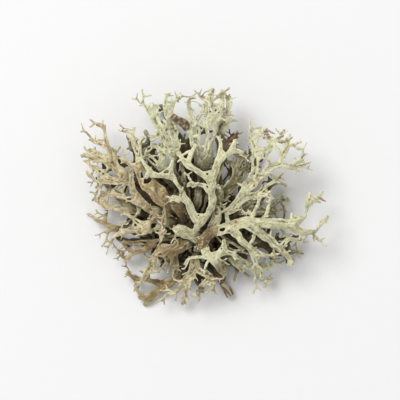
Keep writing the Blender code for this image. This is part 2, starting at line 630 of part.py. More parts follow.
def make_holdfast():
    """A low crust along the twig's top, from which the fronds grow."""
    (xa, ya), (xb, yb) = HOLDFAST
    along = Vector((xb - xa, yb - ya, 0)).normalized()
    bm = bmesh.new()
    rings = []
    steps, sides = 7, 10
    for n in range(steps):
        share = n / (steps - 1)
        swell = 0.55 + 0.45 * math.sin(math.pi * share) ** 0.5
        x, y = xa + (xb - xa) * share, ya + (yb - ya) * share
        twig_top = 7.15 - 1.3 * max(0.0, share - 0.45) / 0.55
        middle = (HOLDFAST_TOP + twig_top) / 2
        half_height = (HOLDFAST_TOP - twig_top) / 2 * swell
        half_width = HOLDFAST_HALF_WIDTH * swell * (1 + 0.12 * math.sin(2.1 * n))
        ring = []
        for side in range(sides):
            angle = 2 * math.pi * (side + 0.5) / sides
            ring.append(bm.verts.new((Vector((x, y, middle)) + along.cross(UP) * half_width * math.cos(angle)
                                      + UP * half_height * math.sin(angle)) * MM))
        rings.append(ring)
    loft(bm, rings)
    add_object("holdfast", bm, "crust")


def make_flake(name, centre, outline, thickness, tilt, colour_name):
    """A thin chip: an outline around its centre, extruded and tipped over."""
    bm = bmesh.new()
    turn = Matrix.Rotation(math.radians(tilt[1]), 4, "Y") @ Matrix.Rotation(math.radians(tilt[0]), 4, "X")
    place = Matrix.Translation(Vector(centre) * MM) @ turn
    corners = [bm.verts.new((x * MM, y * MM, -thickness / 2 * MM)) for x, y in outline]
    face = bm.faces.new(corners)
    lifted = bmesh.ops.extrude_face_region(bm, geom=[face])["geom"]
    moved = [item for item in lifted if isinstance(item, bmesh.types.BMVert)]
    bmesh.ops.translate(bm, verts=moved, vec=(0, 0, thickness * MM))
    bmesh.ops.transform(bm, matrix=place, verts=bm.verts)
    add_object(name, bm, colour_name)


def make_caught_bits():
    make_flake("bark_flake", (-7.6, 22.0, 16.0),
               ((-2.7, 1.0), (-1.8, 2.4), (0.6, 1.7), (2.2, 0.6), (2.7, -1.6), (1.2, -2.3), (-0.4, -0.8)),
               0.7, (12, -10), "bark")
    make_flake("leaf_scrap", (7.4, 17.6, 18.6),
               ((-1.7, -1.9), (-1.0, -2.0), (0.6, -0.2), (1.9, 1.2), (1.5, 1.5), (-0.4, 0.3)),
               0.4, (20, 14), "leaf")


# ---------------------------------------------------------------- scene

def material(name):
    found = bpy.data.materials.get(name)
    if found:
        return found
    made = bpy.data.materials.new(name)
    made.use_nodes = True
    shader = made.node_tree.nodes["Principled BSDF"]
    shader.inputs["Base Color"].default_value = (*COLOURS[name], 1.0)
    shader.inputs["Roughness"].default_value = 0.9
    shader.inputs["Metallic"].default_value = 0.0
    return made


def clear_scene():
    for obj in list(bpy.data.objects):
        bpy.data.objects.remove(obj, do_unlink=True)


def centre_on_origin():
    """Moves the clump so that the middle of its box, in plan, is over the origin."""
    corners = np.array([v.co for obj in bpy.data.objects for v in obj.data.vertices])
    middle = (corners.min(0) + corners.max(0)) / 2
    for obj in bpy.data.objects:
        obj.data.transform(Matrix.Translation((-middle[0], -middle[1], 0.0)))


def main():
    clear_scene()
    make_twig()
    make_holdfast()
    make_fronds()
    make_caught_bits()
    centre_on_origin()


main()
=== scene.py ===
"""Dry oakmoss lichen round a piece of twig, modelled over its CAD frame and laid out as an add-on.

Every frond starts as its CAD node. It is rounded, given small forked lobules and cross webs, fused into one
skin, and then wrinkled. All lengths in the code are metres; MM turns millimetres into them.
"""

import heapq
import json
import math
import random

import bmesh
import bpy
import numpy as np
from bpy.props import FloatProperty, FloatVectorProperty, IntProperty, PointerProperty
from mathutils import Matrix, Vector, noise
from mathutils.kdtree import KDTree


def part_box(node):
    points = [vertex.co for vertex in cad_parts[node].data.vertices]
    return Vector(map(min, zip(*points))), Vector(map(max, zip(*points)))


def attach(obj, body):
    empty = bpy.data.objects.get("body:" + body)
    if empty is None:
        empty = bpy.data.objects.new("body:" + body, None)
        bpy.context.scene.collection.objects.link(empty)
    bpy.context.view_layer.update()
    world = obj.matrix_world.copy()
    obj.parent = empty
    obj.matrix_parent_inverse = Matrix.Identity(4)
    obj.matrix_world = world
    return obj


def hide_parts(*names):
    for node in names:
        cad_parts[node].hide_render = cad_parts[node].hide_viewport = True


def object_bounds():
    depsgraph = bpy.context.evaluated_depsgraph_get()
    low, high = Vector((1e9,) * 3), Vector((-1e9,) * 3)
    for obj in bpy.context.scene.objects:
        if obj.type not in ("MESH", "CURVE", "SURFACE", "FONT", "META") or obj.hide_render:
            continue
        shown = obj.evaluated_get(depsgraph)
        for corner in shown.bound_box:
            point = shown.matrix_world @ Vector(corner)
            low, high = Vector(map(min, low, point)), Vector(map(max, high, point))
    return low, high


bl_info = {
    "name": "Oakmoss on a twig",
    "version": (1, 0, 0),
    "blender": (4, 5, 0),
    "location": "3D View > Sidebar > Lichen",
    "description": "Models a dry tuft of oakmoss lichen, its twig and the bits caught in it",
    "category": "Object",
}

MM = 0.001
UP = Vector((0.0, 0.0, 1.0))
BODY = "root"

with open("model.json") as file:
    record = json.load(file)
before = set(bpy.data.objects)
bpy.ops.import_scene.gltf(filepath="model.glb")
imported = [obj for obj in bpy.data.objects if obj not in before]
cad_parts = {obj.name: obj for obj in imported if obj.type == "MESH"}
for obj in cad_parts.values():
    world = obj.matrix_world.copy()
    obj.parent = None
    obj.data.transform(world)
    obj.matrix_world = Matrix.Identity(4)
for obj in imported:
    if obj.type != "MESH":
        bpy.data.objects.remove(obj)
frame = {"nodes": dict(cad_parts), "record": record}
CAD_LOW, CAD_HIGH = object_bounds()

# How worn each frond is, from 0 to 1.5, and how many lobules it bears against the usual number.
WEAR = {
    "crown_frond": (0.0, 0.2), "right_frond": (0.4, 0.4), "upper_right_frond": (0.35, 0.95),
    "top_right_frond": (0.55, 0.6), "web_frond": (0.1, 0.4), "top_frond": (0.1, 0.6),
    "top_left_frond": (0.3, 0.55), "middle_left_frond": (0.2, 0.45), "lower_right_frond": (0.1, 0.7),
    "window_frond": (1.15, 0.3), "rosy_frond": (0.8, 0.3), "upper_left_frond": (0.2, 0.4),
    "left_frond": (0.4, 0.25), "lower_left_frond": (0.7, 0.3), "hooked_frond": (0.6, 0.25),
    "frilled_bottom_frond": (0.35, 0.85), "wispy_left_frond": (0.4, 0.25), "tangled_left_frond": (0.5, 0.35),
    "antler_frond": (0.0, 0.08), "saddle_frond": (1.3, 0.4), "dark_inner_frond": (1.5, 1.0),
}
NO_WINDOWS = ("crown_frond", "hooked_frond", "saddle_frond", "antler_frond")
FAR_WINDOWS = ("window_frond",)     # with holes in their outer parts only
WINDOWS_FROM = 5.0 * MM             # how far from the crust the holes start
FAR_WINDOWS_FROM = 9.5 * MM
FOOT_SHIFT = (1.2 * MM, 1.6 * MM)   # how far a frond's foot is drawn onwards and down into the crust
FOOT_NARROWING = 0.6
GRAFTED = {"upper_right_frond": (Vector((0.3, -3.3, 0.1)) * MM, 1.5)}   # a foot that goes into another frond

# What tells the parts of a CAD cage apart.
RIM_HEIGHT = 0.8 * MM               # a rim face's upright edges are shorter than this
FOOT_REACH = 3.0 * MM               # a limb's end this near the start of the cage is its foot, not a tip
LOBE_THICKNESS = 1.1 * MM           # an upper face has its lower one within this
WINDOW_BREADTH = 1.35 * MM          # the narrowest lobe that gets a hole
BROADEST = 4.3 * MM                 # lobes over this breadth always get a large hole
LARGE_WINDOW_RIM = 0.17             # what is left on each side of a hole, per breadth of the lobe
WINDOW_RIM = (0.26, 0.32)

# Places where the lobes have gone brown: (x, y, radius) in millimetres, x and y from the holdfast's middle.
STAINS = (
    (7.6, -9.8, 3.4), (-7.1, -6.1, 4.0), (-6.3, 7.0, 5.5), (3.7, 0.2, 3.0), (1.0, -16.1, 2.0),
    (-11.4, -13.6, 3.0), (-18.8, -12.6, 2.2), (-13.8, -3.2, 2.6),
)
STAIN_TOP = 15.5 * MM               # nothing over this height is stained

# The lobules that fan out from a tip: the degrees between each and the tip's heading. Each tip draws one set.
FANS = ((-26, 28), (-36, 0, 38), (-10, 36), (-34, 14))
LONG_SHARE = 0.15                   # how many of the lobules along a rim are long ones
WEB_LENGTH = 1.0 * MM               # the strut that every cross web is stretched from
WEB_TRIAL_SPACING = 0.7 * MM        # a rim is tried as a web's end this often
TIP_LENGTH = 1.8 * MM               # the colour of a tip fades over this distance

# Lobes that belong to no frond: broad old ones, grey ones, and thin straps between the fronds. Each is a path
# of (x, y, height, breadth) in millimetres, x and y from the holdfast's middle.
OLD_LOBES = (
    ((0.7, -3.4, 11.2, 2.4), (2.1, -1.4, 12.2, 3.6), (3.9, 0.6, 13.0, 4.0), (6.0, 2.6, 13.2, 3.0)),
    ((-1.1, 3.8, 11.2, 2.2), (-2.8, 6.8, 13.0, 3.8), (-3.6, 10.6, 13.6, 4.0), (-3.2, 14.2, 13.0, 2.4)),
    ((-5.6, 4.6, 12.2, 2.6), (-8.8, 6.8, 14.0, 4.2), (-11.8, 6.2, 14.4, 3.6), (-14.2, 4.2, 13.8, 2.0)),
    ((-2.4, -2.8, 11.8, 2.6), (-5.6, -3.8, 13.0, 4.4), (-8.0, -5.8, 12.8, 4.2), (-8.8, -9.0, 11.4, 2.2)),
)
GREY_LOBES = (
    ((2.6, 4.2, 10.4, 2.0), (5.0, 8.0, 11.4, 3.0), (7.0, 12.0, 11.8, 2.8), (8.0, 15.6, 11.4, 1.6)),
    ((4.6, 1.0, 10.6, 2.0), (9.0, -1.6, 11.0, 2.6), (13.0, -4.2, 10.4, 2.4), (16.6, -5.4, 9.4, 1.4)),
)
CROSS_STRAPS = (
    ((18.9, 11.4, 15.7, 1.0), (18.1, 8.6, 14.9, 1.2), (16.9, 6.2, 15.0, 1.1), (16.2, 4.4, 15.4, 1.5)),
    ((21.5, 11.2, 15.4, 0.8), (21.2, 8.4, 14.6, 0.9), (20.3, 6.0, 14.8, 0.9), (20.0, 4.2, 15.2, 1.3)),
    ((13.4, 10.6, 14.6, 0.8), (12.9, 8.0, 13.6, 1.0), (14.3, 6.2, 13.6, 1.0), (16.8, 6.6, 14.6, 0.9)),
    ((17.6, 0.8, 14.8, 0.8), (16.6, -1.0, 13.5, 0.7), (15.4, -2.7, 13.4, 0.9)),
)


# ---------------------------------------------------------------- sizes and colours

def length(name, description, default):
    return FloatProperty(name=name, description=description, default=default, unit="LENGTH", precision=5)


def colour(name, description, default):
    return FloatVectorProperty(name=name, description=description, default=default, subtype="COLOR",
                               min=0.0, max=1.0)


class LichenShape(bpy.types.PropertyGroup):
    """Sizes of the lichen's surface and small parts."""

    mesh_size: length("Mesh size", "Edge length of a frond's skin", 0.18 * MM)
    undergrowth_mesh_size: length("Undergrowth mesh size", "Edge length of the undergrowth's skin", 0.33 * MM)
    wobble: length("Wobble", "How far the lobes stray from straight", 2.2 * MM)
    wobble_size: length("Wobble size", "Distance over which lobes bend", 5.0 * MM)
    ridge: length("Ridge height", "Height of the net of ridges on a lobe", 0.18 * MM)
    ridge_size: length("Ridge spacing", "Distance between two ridges", 1.4 * MM)
    arch: FloatProperty(name="Arch", description="Slope from a lobe's rims up to its middle", default=0.38)
    fold: length("Fold height", "Height of the folds that run along a lobe", 0.13 * MM)
    fold_breadth: length("Fold breadth", "Distance across a lobe from fold to fold", 0.6 * MM)
    fold_length: length("Fold length", "Distance along a lobe over which a fold changes", 2.4 * MM)
    lobule_spacing: length("Lobule spacing", "Distance between two lobules along a lobe's rim", 2.6 * MM)
    web_spacing: length("Web spacing", "Least distance between two cross webs", 4.0 * MM)
    web_reach: length("Web reach", "Widest gap that a cross web spans", 2.4 * MM)
    window_share: FloatProperty(name="Windows", description="Share of the broad lobes with a hole",
                                default=0.5)
    undergrowth: IntProperty(name="Undergrowth", description="Number of lobes low in the tuft", default=260)
    seed: IntProperty(name="Seed", description="Start of the random draws", default=11)


class LichenColours(bpy.types.PropertyGroup):
    """Colours of the lichen, the twig and the stage."""

    pale: colour("Pale lobe", "Young lobe", (0.65, 0.65, 0.415))
    grey_green: colour("Grey-green lobe", "Grown lobe", (0.56, 0.58, 0.38))
    olive: colour("Olive lobe", "Lobe low in the tuft", (0.26, 0.245, 0.12))
    cream: colour("Cream lobe", "Weathered lobe", (0.70, 0.62, 0.39))
    brown: colour("Brown lobe", "Old dry lobe", (0.44, 0.335, 0.17))
    tan: colour("Tan", "Worn parts of a pale lobe", (0.38, 0.29, 0.14))
    dun: colour("Dun", "Worn parts of a weathered lobe", (0.31, 0.225, 0.105))
    ochre: colour("Ochre", "The oldest weathered lobes", (0.58, 0.41, 0.175))
    # Umber is also the painted shade in hollows and between ridges on every lobe.
    umber: colour("Umber", "Worn parts of a dark lobe", (0.15, 0.09, 0.03))
    # Margin paints the pale rims, and also a painted highlight on crests, convex parts and ridge tops.
    margin: colour("Margin", "Thin rim of a lobe", (0.80, 0.78, 0.545))
    # Shade is painted shade: it darkens each point by how far other lobes stand over it (the depth
    # attribute).
    shade: colour("Shade", "Dirt and dead tissue deep in the tuft", (0.046, 0.028, 0.006))
    speck: colour("Speck", "Dark specks", (0.085, 0.05, 0.025))
    dry: colour("Dry tip", "Brown ends of the lobes", (0.27, 0.16, 0.07))
    blush: colour("Blush", "Pinkish tone of the weathered side", (0.52, 0.38, 0.25))
    bark: colour("Bark", "Outside of the twig", (0.20, 0.14, 0.085))
    wood: colour("Wood", "Broken end of the twig", (0.62, 0.53, 0.35))
    leaf: colour("Leaf", "Scrap of dead leaf", (0.27, 0.13, 0.05))
    floor: colour("Floor", "Plain floor", (0.885, 0.885, 0.885))


class StageSettings(bpy.types.PropertyGroup):
    """Camera and light."""

    view_width: length("View width", "Width of floor in the picture", 120.0 * MM)
    camera_height: length("Camera height", "Height of the camera over the floor", 900.0 * MM)
    key_power: FloatProperty(name="Key light", description="Power of the soft key light", default=31.0,
                             unit="POWER")
    sky: FloatProperty(name="Sky", description="Strength of the light from all round", default=0.56)


def shape():
    return bpy.context.scene.lichen_shape


def colours():
    return bpy.context.scene.lichen_colours


# ---------------------------------------------------------------- shader nodes

class Wire:
    """A socket that arithmetic can be written on: each operation adds a Math node."""

    def __init__(self, nodes, socket):
        self.nodes = nodes
        self.socket = socket

    def math(self, operation, *values):
        return self.nodes.add("Math", {"operation": operation}, dict(enumerate(values)))["Value"]

    def __add__(self, other):
        return self.math("ADD", self, other)

    def __radd__(self, other):
        return self.math("ADD", other, self)

    def __sub__(self, other):
        return self.math("SUBTRACT", self, other)

    def __rsub__(self, other):
        return self.math("SUBTRACT", other, self)

    def __mul__(self, other):
        return self.math("MULTIPLY", self, other)

    def __rmul__(self, other):
        return self.math("MULTIPLY", other, self)

    def above(self, low, high):
        """0 below low, 1 above high, and smooth between."""
        settings = {"interpolation_type": "SMOOTHSTEP"}
        found = self.nodes.add("MapRange", settings, {"Value": self, "From Min": low, "From Max": high})
        return found["Result"]

    def held(self):
        return self.nodes.add("Clamp", {}, {"Value": self})["Result"]


class Outputs:
    """A node's outputs by name, as wires."""

    def __init__(self, nodes, node):
        self.nodes = nodes
        self.node = node

    def __getitem__(self, name):
        return Wire(self.nodes, self.node.outputs[name])


class Nodes:
    """The node tree of one material."""

    def __init__(self, name):
        self.material = bpy.data.materials.new(name)
        self.material.use_nodes = True
        self.tree = self.material.node_tree
        self.shader = self.tree.nodes["Principled BSDF"]
        self.place = self.add("TexCoord", {}, {})["Object"]

    def add(self, kind, settings, inputs):
        """A node of that type, with its settings made first and then its sockets set or linked."""
        node = self.tree.nodes.new("ShaderNode" + kind)
        for key, value in settings.items():
            setattr(node, key, value)
        self.fill(node, inputs)
        return Outputs(self, node)

    def fill(self, node, inputs):
        for key, value in inputs.items():
            if isinstance(value, Wire):
                self.tree.links.new(value.socket, node.inputs[key])
            else:
                node.inputs[key].default_value = value

    def noise(self, size, detail=3.0, roughness=0.55):
        """Smooth noise, about 0 to 1, whose blobs are about that size."""
        inputs = {"Vector": self.place, "Scale": 1.0 / size, "Detail": detail, "Roughness": roughness}
        return self.add("TexNoise", {}, inputs)["Fac"]

    def cells(self, size):
        """The distance from the middle of a cell about that size."""
        return self.add("TexVoronoi", {}, {"Vector": self.place, "Scale": 1.0 / size})["Distance"]

    def read(self, attribute):
        return self.add("Attribute", {"attribute_name": attribute}, {})["Fac"]

    def mix(self, share, one, other):
        """A colour between two."""
        node = self.add("Mix", {"data_type": "RGBA"}, {0: share})
        for slot, value in ((6, one), (7, other)):
            self.fill(node.node, {slot: value if isinstance(value, Wire) else (*value, 1.0)})
        return Wire(self, node.node.outputs[2])

    def finish(self, colour_wire, roughness, bump, depth, strength=1.0):
        relief = self.add("Bump", {}, {"Height": bump, "Distance": depth, "Strength": strength})["Normal"]
        self.fill(self.shader, {"Base Color": colour_wire, "Roughness": roughness, "Normal": relief})
        return self.material


def darker(paint, share):
    return tuple(share * value for value in paint)


def lichen_material(name, face, worn, age):
    """A lobe: mottled face, worn patches, pale rims with a painted highlight on crests and ridges, dark
    specks, brown tips, painted shade in hollows and between ridges, and painted shade deep in the tuft.
    """
    paint = colours()
    nodes = Nodes(name)
    ridge, margin, tip = nodes.read("ridge"), nodes.read("margin"), nodes.read("tip")
    depth, out, tint = nodes.read("depth"), nodes.read("out"), nodes.read("tint")
    hollow, stain = nodes.read("hollow"), nodes.read("stain")
    broad = nodes.noise(5.0 * MM, 2.0)
    patches = nodes.noise(2.0 * MM, 4.0)
    mottle = nodes.noise(0.75 * MM, 3.0, 0.65)
    position = nodes.add("SeparateXYZ", {}, {"Vector": nodes.place})
    weathered = (position["X"] * -1.0 + position["Y"] * -0.5 + broad * (10 * MM)).above(14 * MM, 25 * MM)

    young = out.above(0.5, 1.0) * nodes.noise(4.0 * MM, 1.0).above(0.4, 0.6)
    base = nodes.mix(young * 0.6, face, paint.pale)
    wear = broad + (1.0 - out) * 0.5 + tint * 0.45 + patches * 0.5 + (age - 0.85)
    base = nodes.mix(wear.above(0.25, 1.0) * 0.9, base, worn)
    oldest = tint.above(0.9, 1.05) * (1.0 - tint.above(1.15, 1.25))
    base = nodes.mix(oldest * 0.65, base, paint.ochre)
    base = nodes.mix(weathered * nodes.noise(3.4 * MM, 2.0).above(0.52, 0.7) * 0.5, base, paint.blush)
    base = nodes.mix((1.0 - mottle.above(0.34, 0.56)) * 0.6, base, worn)
    base = nodes.mix(weathered * patches.above(0.42, 0.6) * 0.6, base, paint.dun)
    blotches = nodes.noise(1.5 * MM, 3.0, 0.6).above(0.5, 0.64)
    base = nodes.mix(blotches * 0.5, base, darker(face, 0.5))
    stained = (stain * (0.5 + patches)).above(0.2, 0.9)
    base = nodes.mix(stained * 0.8, base, darker(paint.dun, 0.65))

    # Painted shade: hollows and the dips between ridges are darkened towards umber.
    shade_between_ridges = (1.0 - ridge.above(0.05, 0.5)) * patches.above(0.3, 0.55)
    hollows = shade_between_ridges * 0.45 + hollow.above(0.55, 0.95) * 0.65
    base = nodes.mix(hollows.held(), base, paint.umber)
    # Partly the rims' own paler colour and partly a painted highlight: convex parts, ridge tops and edge-on
    # rims are lightened towards the margin colour.
    crest_highlight = 1.0 - hollow.above(0.0, 0.4)
    pale_rim_and_highlight = (ridge.above(0.6, 1.0) * 0.25 + margin.above(0.3, 0.9) * 0.35 + crest_highlight * 0.5).held()
    pale_rim_and_highlight = pale_rim_and_highlight * (1.0 - weathered * 0.45) * (1.0 - stain * 0.75)
    base = nodes.mix(pale_rim_and_highlight * (0.95 - 0.35 * age), base, paint.margin)

    specks = nodes.noise(0.42 * MM, 1.0).above(0.63, 0.71) * nodes.noise(2.6 * MM).above(0.4, 0.56)
    base = nodes.mix(specks * 0.8, base, paint.speck)
    dry = tip.above(0.18, 0.7) * nodes.noise(2.4 * MM).above(0.43, 0.56)
    base = nodes.mix(dry * 0.75, base, paint.dry)
    # Painted shade deep in the tuft: the more other lobes stand over a point, the darker it is painted.
    base = nodes.mix(depth.above(0.08, 0.64) * 0.88, base, paint.shade)
    bump = nodes.noise(0.35 * MM, 4.0) * 0.5 + nodes.cells(0.5 * MM) * 0.5
    return nodes.finish(base, 0.86 + mottle * 0.1, bump, 0.07 * MM, 0.7)


def bark_material():
    """Dark furrowed bark with grey flecks, pale fibres where the wood is bare, and painted shade where lobes
    cover it.
    """
    paint = colours()
    nodes = Nodes("Bark")
    streaks = nodes.noise(0.8 * MM, 5.0, 0.65)
    ridge = nodes.read("ridge")
    base = nodes.mix(streaks.above(0.35, 0.7), darker(paint.bark, 0.35), paint.bark)
    base = nodes.mix(ridge.above(0.5, 0.95) * 0.6, base, tuple(min(1.0, 2.6 * value) for value in paint.bark))
    flecks = nodes.noise(1.6 * MM).above(0.6, 0.72) * 0.5
    base = nodes.mix(flecks, base, paint.grey_green)
    grain = nodes.read("grain") + nodes.noise(0.4 * MM, 4.0)
    fibres = nodes.mix(grain.above(0.35, 0.75), darker(paint.wood, 0.28), paint.wood)
    base = nodes.mix(nodes.read("bare").above(0.3, 0.7), base, fibres)
    # Painted shade where lobes stand over the twig.
    base = nodes.mix(nodes.read("depth").above(0.12, 0.75) * 0.85, base, paint.shade)
    return nodes.finish(base, 0.9, streaks, 0.12 * MM)


def leaf_material():
    """A dry leaf: orange-brown, darker in patches, with a faint grain."""
    paint = colours()
    nodes = Nodes("DeadLeaf")
    patches = nodes.noise(1.2 * MM, 4.0)
    base = nodes.mix(patches.above(0.4, 0.65), paint.leaf, darker(paint.leaf, 0.3))
    return nodes.finish(base, 0.7, nodes.noise(0.3 * MM, 4.0), 0.05 * MM)


def floor_material():
    """Plain off-white board."""
    nodes = Nodes("Floor")
    grain = nodes.noise(4 * MM, 2.0)
    paint = colours().floor
    base = nodes.mix(grain, paint, darker(paint, 0.985))
    return nodes.finish(base, 0.8, grain, 0.01 * MM, 0.1)


# ---------------------------------------------------------------- editing by hand

def make_active(obj):
    """Makes obj the only selected object and the active one."""
    bpy.ops.object.select_all(action="DESELECT")
    obj.select_set(True)
    bpy.context.view_layer.objects.active = obj


def start_editing(obj):
    make_active(obj)
    bpy.ops.object.mode_set(mode="EDIT")
    bpy.ops.mesh.select_mode(type="FACE")
    bpy.ops.mesh.select_all(action="DESELECT")


def stop_editing():
    bpy.ops.object.mode_set(mode="OBJECT")


def select_faces(obj, chosen):
    """Selects just the faces that chosen(face) accepts, in edit mode."""
    bpy.ops.mesh.select_all(action="DESELECT")
    mesh = bmesh.from_edit_mesh(obj.data)
    for face in mesh.faces:
        face.select_set(bool(chosen(face)))
    bmesh.update_edit_mesh(obj.data)


def apply_modifier(obj, kind, **settings):
    make_active(obj)
    modifier = obj.modifiers.new(kind.title(), kind)
    for key, value in settings.items():
        setattr(modifier, key, value)
    bpy.ops.object.modifier_apply(modifier=modifier.name)


def subdivide_surface(obj, levels):
    apply_modifier(obj, "SUBSURF", levels=levels, render_levels=levels)


def texture(name, kind, **settings):
    found = bpy.data.textures.get(name)
    if found is None:
        found = bpy.data.textures.new(name, kind)
        for key, value in settings.items():
            setattr(found, key, value)
    return found


def copy_of(source, name, matrix=None):
    """A copy with a mesh of its own, moved there in its mesh."""
    twin = bpy.data.objects.new(name, source.data.copy())
    bpy.context.scene.collection.objects.link(twin)
    if matrix is not None:
        twin.data.transform(matrix)
    return twin


def joined(objects):
    """Joins the objects into the first."""
    make_active(objects[0])
    for obj in objects[1:]:
        obj.select_set(True)
    bpy.ops.object.join()
    return objects[0]


def coordinates(mesh):
    flat = np.empty(len(mesh.vertices) * 3)
    mesh.vertices.foreach_get("co", flat)
    return flat.reshape(-1, 3)


def set_coordinates(mesh, points):
    mesh.vertices.foreach_set("co", points.ravel())
    mesh.update()


def normals(mesh):
    flat = np.empty(len(mesh.vertices) * 3)
    mesh.vertices.foreach_get("normal", flat)
    return flat.reshape(-1, 3)


def set_attribute(mesh, name, values):
    found = mesh.attributes.get(name) or mesh.attributes.new(name, "FLOAT", "POINT")
    found.data.foreach_set("value", np.asarray(values, dtype=np.float32))


def spread(mesh, values, rounds):
    """Averages a value over neighbouring vertices."""
    edges = np.empty(len(mesh.edges) * 2, dtype=np.int64)
    mesh.edges.foreach_get("vertices", edges)
    one, other = edges.reshape(-1, 2).T
    count = np.bincount(edges, minlength=len(values)).clip(1)
    for _ in range(rounds):
        total = np.bincount(one, values[other], len(values)) + np.bincount(other, values[one], len(values))
        values = 0.5 * values + 0.5 * total / count
    return values


# ---------------------------------------------------------------- lobules, modelled once and copied

def grow(obj, face_at, facing, heading, reach, narrow):
    """Extrudes the face near a point that looks that way, turns it to its heading and narrows it."""
    heading = Vector(heading).normalized()
    facing = Vector(facing)
    mesh = bmesh.from_edit_mesh(obj.data)

    def fit(face):
        return face.normal.dot(facing) - (face.calc_center_median() - face_at).length / MM

    best = max(mesh.faces, key=fit)
    turn = math.atan2(heading.y, heading.x) - math.atan2(best.normal.y, best.normal.x)
    turn = (turn + math.pi) % (2 * math.pi) - math.pi
    chosen = best.index
    select_faces(obj, lambda face: face.index == chosen)
    bpy.ops.mesh.extrude_region_move(TRANSFORM_OT_translate={"value": heading * reach})
    mesh = bmesh.from_edit_mesh(obj.data)
    middle = next(face for face in mesh.faces if face.select).calc_center_median()
    bpy.ops.transform.resize(value=(narrow, narrow, 0.5 + 0.5 * narrow), center_override=middle)
    bpy.ops.transform.rotate(value=-turn, orient_axis="Z", center_override=middle)
    return Vector(middle)


def lobule_block(name, breadth, thickness, stem):
    """The foot of a lobule: a flat block pointing along +Y from the origin."""
    bpy.ops.object.select_all(action="DESELECT")
    bpy.ops.mesh.primitive_cube_add(size=1, location=(0, stem / 2, 0), scale=(breadth, stem, thickness))
    obj = bpy.context.object
    obj.name = name
    bpy.ops.object.transform_apply(location=True, rotation=True, scale=True)
    start_editing(obj)
    return obj


def pointed(degrees, lift=0.0):
    """A direction turned that far to the left of +Y."""
    angle = math.radians(degrees)
    return Vector((-math.sin(angle), math.cos(angle), lift))


def model_strand(name, breadth, steps, bend, prongs):
    """A strand that curves as it grows and ends blunt, or in prongs of (degrees to the left, length)."""
    step = 0.8 * MM
    obj = lobule_block(name, breadth, 0.5 * MM, step)
    end, angle = Vector((0, step, 0)), 0.0
    for n in range(steps):
        facing = pointed(angle)
        angle += bend
        end = grow(obj, end, facing, pointed(angle, 0.08), step, 0.97)
    side = Vector(pointed(angle + 90)).normalized() * breadth / 2
    root = end - pointed(angle) * step / 2
    for degrees, reach in prongs:
        way = 1 if degrees > 0 else -1
        facing = pointed(angle + 90 * way)
        prong = grow(obj, root + side * way, facing, pointed(angle + degrees, 0.12), reach * MM, 0.95)
        grow(obj, prong, pointed(angle + degrees), pointed(angle + degrees * 0.5, 0.2), 0.7 * MM, 1.0)
    stop_editing()
    subdivide_surface(obj, 1)
    return obj


def model_web():
    """A thin strut as long as WEB_LENGTH, with flared ends, along +Y."""
    obj = lobule_block("web", 0.55 * MM, 0.4 * MM, 0.15 * MM)
    end = Vector((0, 0.15 * MM, 0))
    for reach, narrow in ((0.15, 0.75), (0.2, 0.95), (0.2, 1.05), (0.15, 1.2), (0.15, 1.0)):
        end = grow(obj, end, (0, 1, 0), (0, 1, 0), reach * MM, narrow)
    stop_editing()
    return obj


def model_lobe(points):
    """A flat lobe along a path of (place, breadth), as a cage of cross-sections."""
    thickness = 0.6 * MM
    places = [place for place, _ in points]
    headings = [(b - a).normalized() for a, b in zip(places, places[1:])]
    angles = [math.atan2(heading.y, heading.x) - math.pi / 2 for heading in headings]
    bpy.ops.object.select_all(action="DESELECT")
    bpy.ops.mesh.primitive_plane_add(size=1, location=places[0], rotation=(math.pi / 2, 0, angles[0]))
    obj = bpy.context.object
    obj.scale = (points[0][1], thickness, 1)
    bpy.ops.object.transform_apply(location=True, rotation=True, scale=True)
    start_editing(obj)
    bpy.ops.mesh.select_all(action="SELECT")
    for n, (one, other) in enumerate(zip(points, points[1:])):
        bpy.ops.mesh.extrude_region_move(TRANSFORM_OT_translate={"value": other[0] - one[0]})
        narrow = other[1] / one[1]
        bpy.ops.transform.resize(value=(narrow, narrow, 1), center_override=other[0])
        turn = (angles[n + 1] - angles[n]) / 2 if n + 1 < len(angles) else 0.0
        turn += (angles[n] - angles[n - 1]) / 2 if n else 0.0
        bpy.ops.transform.rotate(value=-turn, orient_axis="Z", center_override=other[0])
    bpy.ops.mesh.select_all(action="SELECT")
    bpy.ops.mesh.normals_make_consistent(inside=False)
    # Extruding leaves the faces in any order, and the random draws later follow it.
    bpy.ops.mesh.sort_elements(type="CURSOR_DISTANCE", elements={"VERT", "EDGE", "FACE"})
    stop_editing()
    return obj


class Patterns:
    """The small shapes that are copied, kept only while a piece is modelled."""

    def __enter__(self):
        self.short = [
            model_strand("horn", 0.8 * MM, 2, 14, ()),
            model_strand("horn_right", 0.8 * MM, 2, -14, ()),
            model_strand("fork", 0.95 * MM, 1, 6, ((42, 0.9), (-38, 1.2))),
            model_strand("fork_right", 0.95 * MM, 2, -8, ((36, 1.2), (-44, 0.8))),
        ]
        self.long = [
            model_strand("hook", 0.8 * MM, 6, 17, ()),
            model_strand("hook_right", 0.8 * MM, 6, -15, ()),
            model_strand("tendril", 0.95 * MM, 5, 8, ((48, 1.0), (-36, 1.5))),
            model_strand("tendril_right", 0.95 * MM, 4, -10, ((34, 1.6), (-50, 1.1))),
        ]
        self.web = model_web()
        return self

    def __exit__(self, *_):
        for obj in (*self.short, *self.long, self.web):
            bpy.data.objects.remove(obj, do_unlink=True)


def aimed(root, heading, roll, scale, stretch=1.0):
    """The matrix that puts a +Y shape's foot at root, pointing along heading and turned about it."""
    forward = heading.normalized()
    across = forward.cross(UP).normalized()
    upward = across.cross(forward)
    turn = Matrix((across, forward, upward)).transposed().to_4x4()
    turn = turn @ Matrix.Rotation(roll, 4, "Y")
    size = Matrix.Diagonal((scale, scale * stretch, scale, 1.0))
    return Matrix.Translation(root) @ turn @ size


# ---------------------------------------------------------------- reading a frond's cage

